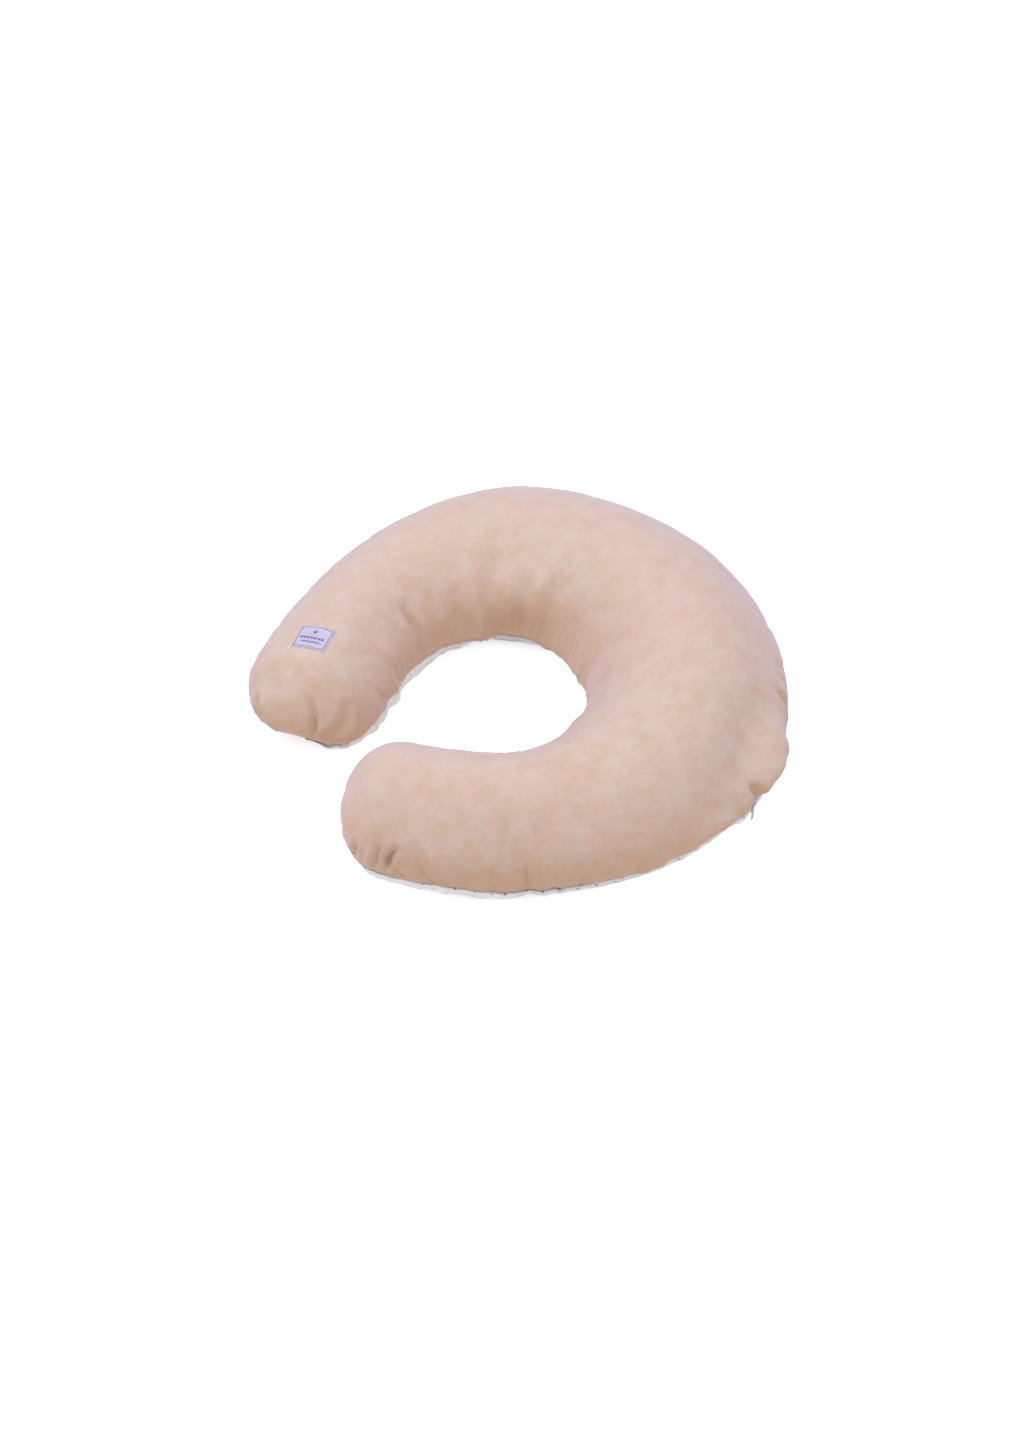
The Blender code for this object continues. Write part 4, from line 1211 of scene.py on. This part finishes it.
def velour():
    """Beige velour: blotches where the pile leans this way or that, short fine pile, a cool bloom at the edges,
    and painted shade that makes it warmer and darker where it faces sideways or down.
    """
    made, tree, shader, where = look("velour_beige", 0.95, specular=0.12)
    tones = zip((0.34, 0.50, 0.66), (VELOUR_DARK, VELOUR_MID, VELOUR_LIGHT))
    colour = ramp(tree, cloud(tree, where, BLOTCH, 4.0, 0.6), [(place, srgb(*tone)) for place, tone in tones])
    broad = cloud(tree, where, BROAD, 1.0)
    colour = mix(tree, grey_ramp(tree, broad, 0.35, 0.65, 0.0, 0.30), colour, srgb(*VELOUR_PINK))
    combed = node(tree, "Mapping", Vector=where, Rotation=(0.0, 0.0, 0.6), Scale=(1.0, 0.28, 1.0)).outputs[0]
    brushed = cloud(tree, combed, BRUSHED, 3.0)
    strokes = ramp(tree, brushed, [(0.3, (0.3, 0.27, 0.25, 1.0)), (0.7, WHITE)])
    colour = mix(tree, 0.06, colour, strokes, "MULTIPLY")
    pile = cloud(tree, where, PILE, 4.0, 0.7)
    colour = mix(tree, 0.10, colour, grey_ramp(tree, pile, 0.3, 0.7, 0.35, 1.0), "MULTIPLY")
    # Painted shade: where the surface faces sideways or down, the colour turns warmer and darker, broken up by a
    # cloud.
    facing = node(tree, "SeparateXYZ", Vector=node(tree, "NewGeometry").outputs["Normal"]).outputs["Z"]
    painted_shade_facing = plus(tree, facing, cloud(tree, where, PAINTED_SHADE_MOTTLE, 3.0), 0.5)
    colour = mix(tree, grey_ramp(tree, painted_shade_facing, 0.25, 1.05, 0.85, 0.0), colour, srgb(*VELOUR_PAINTED_SHADE))
    fuzz = cloud(tree, where, FUZZ, 3.0, 0.6)
    colour = mix(tree, 0.13, colour, grey_ramp(tree, fuzz, 0.32, 0.68, 0.4, 1.0), "MULTIPLY")
    height = plus(tree, maths(tree, "MULTIPLY", pile, 0.5), brushed, 0.9)
    dress(tree, shader, Base_Color=colour, Roughness=grey_ramp(tree, brushed, 0.2, 0.8, 0.82, 1.0),
          Normal=bumped(tree, height, 0.0011, 0.55), Sheen_Weight=0.60, Sheen_Roughness=0.45,
          Sheen_Tint=srgb(*VELOUR_BLOOM))
    return made


def weave(tree, where, warp, weft):
    """Height of crossing threads from two crossed waves."""
    parts = []
    for direction, size in (("X", warp), ("Y", weft)):
        wave = node(tree, "TexWave", Vector=where, Scale=WAVES_PER_SCALE / size, Distortion=0.4, Detail=1.0)
        wave.bands_direction = direction
        parts.append(wave.outputs["Fac"])
    return maths(tree, "MAXIMUM", *parts)


def dotted_cotton():
    """White cotton jersey with tiny mauve-grey dots and a fine knit."""
    made, tree, shader, where = look("cotton_white_dotted", 0.9, specular=0.2)
    flat = node(tree, "UVMap").outputs["UV"]
    dots = tree.nodes.new("ShaderNodeTexVoronoi")
    dots.voronoi_dimensions = "2D"
    dress(tree, dots, Vector=flat, Scale=1.0 / DOT_PITCH, Randomness=0.35)
    rim = DOT_SIZE / DOT_PITCH
    spot = grey_ramp(tree, dots.outputs["Distance"], rim * DOT_CRISP, rim, 1.0, 0.0)
    shade = ramp(tree, cloud(tree, where, 0.03, 2.0), [(0.3, srgb(*COTTON_SHADE)), (0.7, srgb(*COTTON_WHITE))])
    knit = weave(tree, flat, 0.0009, 0.0013)
    crumple = cloud(tree, where, 0.006, 3.0)
    height = plus(tree, crumple, knit, 0.3)
    dress(tree, shader, Base_Color=mix(tree, spot, shade, srgb(*COTTON_DOT)),
          Roughness=grey_ramp(tree, crumple, 0.2, 0.8, 0.84, 0.95), Normal=bumped(tree, height, 0.0006, 0.7),
          Sheen_Weight=0.15, Sheen_Tint=srgb(*COTTON_BLOOM))
    return made


def cloth(name):
    """A plain woven cloth: crossing threads, slight colour change from thread to thread."""
    colour, shade, warp, weft, roughness, specular, depth = WOVEN[name]
    made, tree, shader, where = look(name, roughness, specular=specular)
    threads = weave(tree, where, warp, weft)
    drift = cloud(tree, where, 0.012, 3.0)
    base = mix(tree, drift, srgb(*shade), srgb(*colour))
    base = mix(tree, 0.14, base, grey_ramp(tree, threads, 0.1, 0.9, 0.55, 1.0), "MULTIPLY")
    dull = grey_ramp(tree, drift, 0.2, 0.8, roughness - 0.08, roughness + 0.05)
    dress(tree, shader, Base_Color=base, Roughness=dull, Normal=bumped(tree, threads, depth, 0.6),
          Sheen_Weight=0.1, Sheen_Tint=(0.9, 0.9, 0.95, 1.0))
    return made


def thread(name, colour):
    """Twisted sewing thread: a slanted fine wave over a satin body."""
    made, tree, shader, where = look(name, 0.55, specular=0.4)
    twist = node(tree, "TexWave", Vector=where, Scale=TWIST_SCALE)
    twist.bands_direction = "DIAGONAL"
    turn = twist.outputs["Fac"]
    dark = srgb(*[c * THREAD_SHADE for c in colour])
    base = mix(tree, grey_ramp(tree, turn, 0.0, 1.0, 0.0, 0.25), srgb(*colour), dark)
    dress(tree, shader, Base_Color=base, Normal=bumped(tree, turn, 0.0001, 0.5), Sheen_Weight=0.2)
    return made


def nylon():
    """Milky nylon of the zip's coils."""
    made, tree, shader, where = look("zip_coil_white", 0.32, specular=0.5)
    haze = cloud(tree, where, 0.004, 2.0)
    base = ramp(tree, haze, [(0.3, srgb(*COIL_SHADE)), (0.7, srgb(*COIL_WHITE))])
    relief = bumped(tree, cloud(tree, where, 0.0004, 2.0), 0.00004, 0.3)
    dress(tree, shader, Base_Color=base, Roughness=grey_ramp(tree, haze, 0.2, 0.8, 0.26, 0.42), Normal=relief)
    return made


def nickel():
    """Plated zinc: fine scratches, duller worn patches."""
    made, tree, shader, where = look("zip_metal_nickel", 0.3, metallic=1.0, specular=0.5)
    worn = cloud(tree, where, 0.0022, 3.0)
    lengthened = node(tree, "Mapping", Vector=where, Scale=(1.0, 1.0, 0.08)).outputs[0]
    scratch = cloud(tree, lengthened, 0.00025, 2.0)
    base = ramp(tree, worn, [(0.35, srgb(*NICKEL_WORN)), (0.65, srgb(*NICKEL_BRIGHT))])
    patches = grey_ramp(tree, worn, 0.3, 0.7, 0.34, 0.46)
    rough = plus(tree, patches, scratch, 0.12)
    dress(tree, shader, Base_Color=base, Roughness=rough, Normal=bumped(tree, scratch, 0.00003, 0.4))
    return made


def fibre():
    """White polyester fibre in long strands."""
    made, tree, shader, where = look("polyester_fibre", 0.8, specular=0.2)
    drawn = node(tree, "Mapping", Vector=where, Scale=(1.0, 0.15, 0.6)).outputs[0]
    strands = cloud(tree, drawn, 0.0009, 5.0, 0.7)
    dress(tree, shader, Base_Color=grey_ramp(tree, strands, 0.3, 0.7, 0.78, 0.92),
          Roughness=grey_ramp(tree, strands, 0.3, 0.7, 0.7, 0.9), Normal=bumped(tree, strands, 0.0012, 0.8),
          Sheen_Weight=0.3)
    return made


# ---------------------------------------------------------------- the object
METAL_EDGE = 0.00012

shells = panels()
white_thread = thread("thread_white", THREAD_WHITE)
tape_look = cloth("zip_tape_white")
coil_look = nylon()
sew_panel("velour_top", shells[0], VELOUR, velour(), "cover_top_panel", "velour_beige")
sew_panel("cotton_underside", shells[1], COTTON, dotted_cotton(), "cover_bottom_panel", "cotton_white_dotted")
seam_stitches(shells, white_thread)
for half, sign in (("upper", 1.0), ("lower", -1.0)):
    tape("zip_tape_" + half, tape_look, sign)
    coil("zip_coil_" + half, coil_look, sign)
    zip_sewing("zip_stitch_" + half, white_thread)
for side in ("left", "right"):
    bar_tack("zip_end_tack_" + side, white_thread)
metal = nickel()
for name in ("zip_slider_body", "zip_pull_tab"):
    part = frame["nodes"][name]
    part.data.materials.clear()
    part.data.materials.append(metal)
    rounded = part.modifiers.new("worn edges", "BEVEL")
    rounded.width = METAL_EDGE
    rounded.segments = 2
    rounded.limit_method = "ANGLE"
    rounded.harden_normals = False
label_thread = thread("label_thread_lilac", THREAD_LILAC)
label(surface_tree(shells[0]), cloth("label_satin"), cloth("label_weft_mauve"), label_thread)
care_label(cloth("care_satin"))
casing(shells, cloth("casing_cotton"), white_thread)
filling(shells, fibre())

# ---------------------------------------------------------------- floor, light and camera
FLOOR_SIZE = 12.0
CAMERA_DISTANCE = 2.716
CAMERA_AZIMUTH = math.radians(63.8)
CAMERA_ELEVATION = math.radians(46.9)
CAMERA_TARGET = Vector((0.0, -0.0235, 0.0))
CAMERA_LENS = 63.5
CAMERA_SHIFT = (0.00375, -0.0031)
WORLD = (1.0, 0.965, 0.925)
WORLD_STRENGTH = 0.515
SURROUND = 1.1
FLOOR_GLOW = 0.56
# Name, azimuth and elevation in degrees, distance, size, watts, colour.
LAMPS = [
    ("overhead", -70.0, 75.0, 2.6, 2.6, 45.0, (0.88, 0.97, 1.12)),
    ("left", -15.0, 42.0, 3.0, 1.8, 25.0, (0.93, 0.98, 1.05)),
    ("right", 125.0, 42.0, 3.2, 1.8, 24.0, (0.94, 0.98, 1.08)),
    ("behind", -120.0, 38.0, 3.2, 2.0, 10.0, (0.92, 0.97, 1.10)),
]


def placed(name, data, azimuth, elevation, distance, target):
    """A new lamp or camera at this azimuth, elevation and distance from a target, looking at it."""
    flat = math.cos(elevation)
    away = Vector((math.sin(azimuth) * flat, -math.cos(azimuth) * flat, math.sin(elevation)))
    made = bpy.data.objects.new(name, data)
    made.location = target + away * distance
    made.rotation_euler = away.to_track_quat("Z", "Y").to_euler()
    bpy.context.scene.collection.objects.link(made)
    return made


def seen(tree, rest, extra):
    """A strength that is larger by extra for the camera's own rays."""
    return plus(tree, rest, node(tree, "LightPath").outputs["Is Camera Ray"], extra)


def floor():
    """A white floor that glows a little for the camera only."""
    bpy.ops.mesh.primitive_plane_add(size=FLOOR_SIZE)
    made = bpy.context.object
    made.name = "floor"
    finish, tree, shader, where = look("floor_white", 0.9, specular=0.1)
    patches = cloud(tree, where, 0.4, 2.0)
    dress(tree, shader, Base_Color=grey_ramp(tree, patches, 0.3, 0.7, 0.90, 0.92),
          Emission_Strength=seen(tree, 0.0, FLOOR_GLOW), Emission_Color=WHITE)
    made.data.materials.append(finish)


def lamps():
    for name, azimuth, elevation, distance, size, watts, colour in LAMPS:
        data = bpy.data.lights.new(name, "AREA")
        data.shape = "DISK"
        data.size = size
        data.energy = watts
        data.color = colour
        placed(name, data, math.radians(azimuth), math.radians(elevation), distance, Vector())


def world():
    """A warm white surround, brighter where the camera sees it."""
    made = bpy.data.worlds.new("studio")
    made.use_nodes = True
    tree = made.node_tree
    strength = seen(tree, WORLD_STRENGTH, SURROUND - WORLD_STRENGTH)
    dress(tree, tree.nodes["Background"], Color=WORLD + (1.0,), Strength=strength)
    bpy.context.scene.world = made


def camera():
    data = bpy.data.cameras.new("camera")
    data.lens = CAMERA_LENS
    data.shift_x, data.shift_y = CAMERA_SHIFT
    made = placed("camera", data, CAMERA_AZIMUTH, CAMERA_ELEVATION, CAMERA_DISTANCE, CAMERA_TARGET)
    bpy.context.scene.camera = made


floor()
lamps()
world()
camera()
bpy.context.scene.view_settings.view_transform = "Standard"
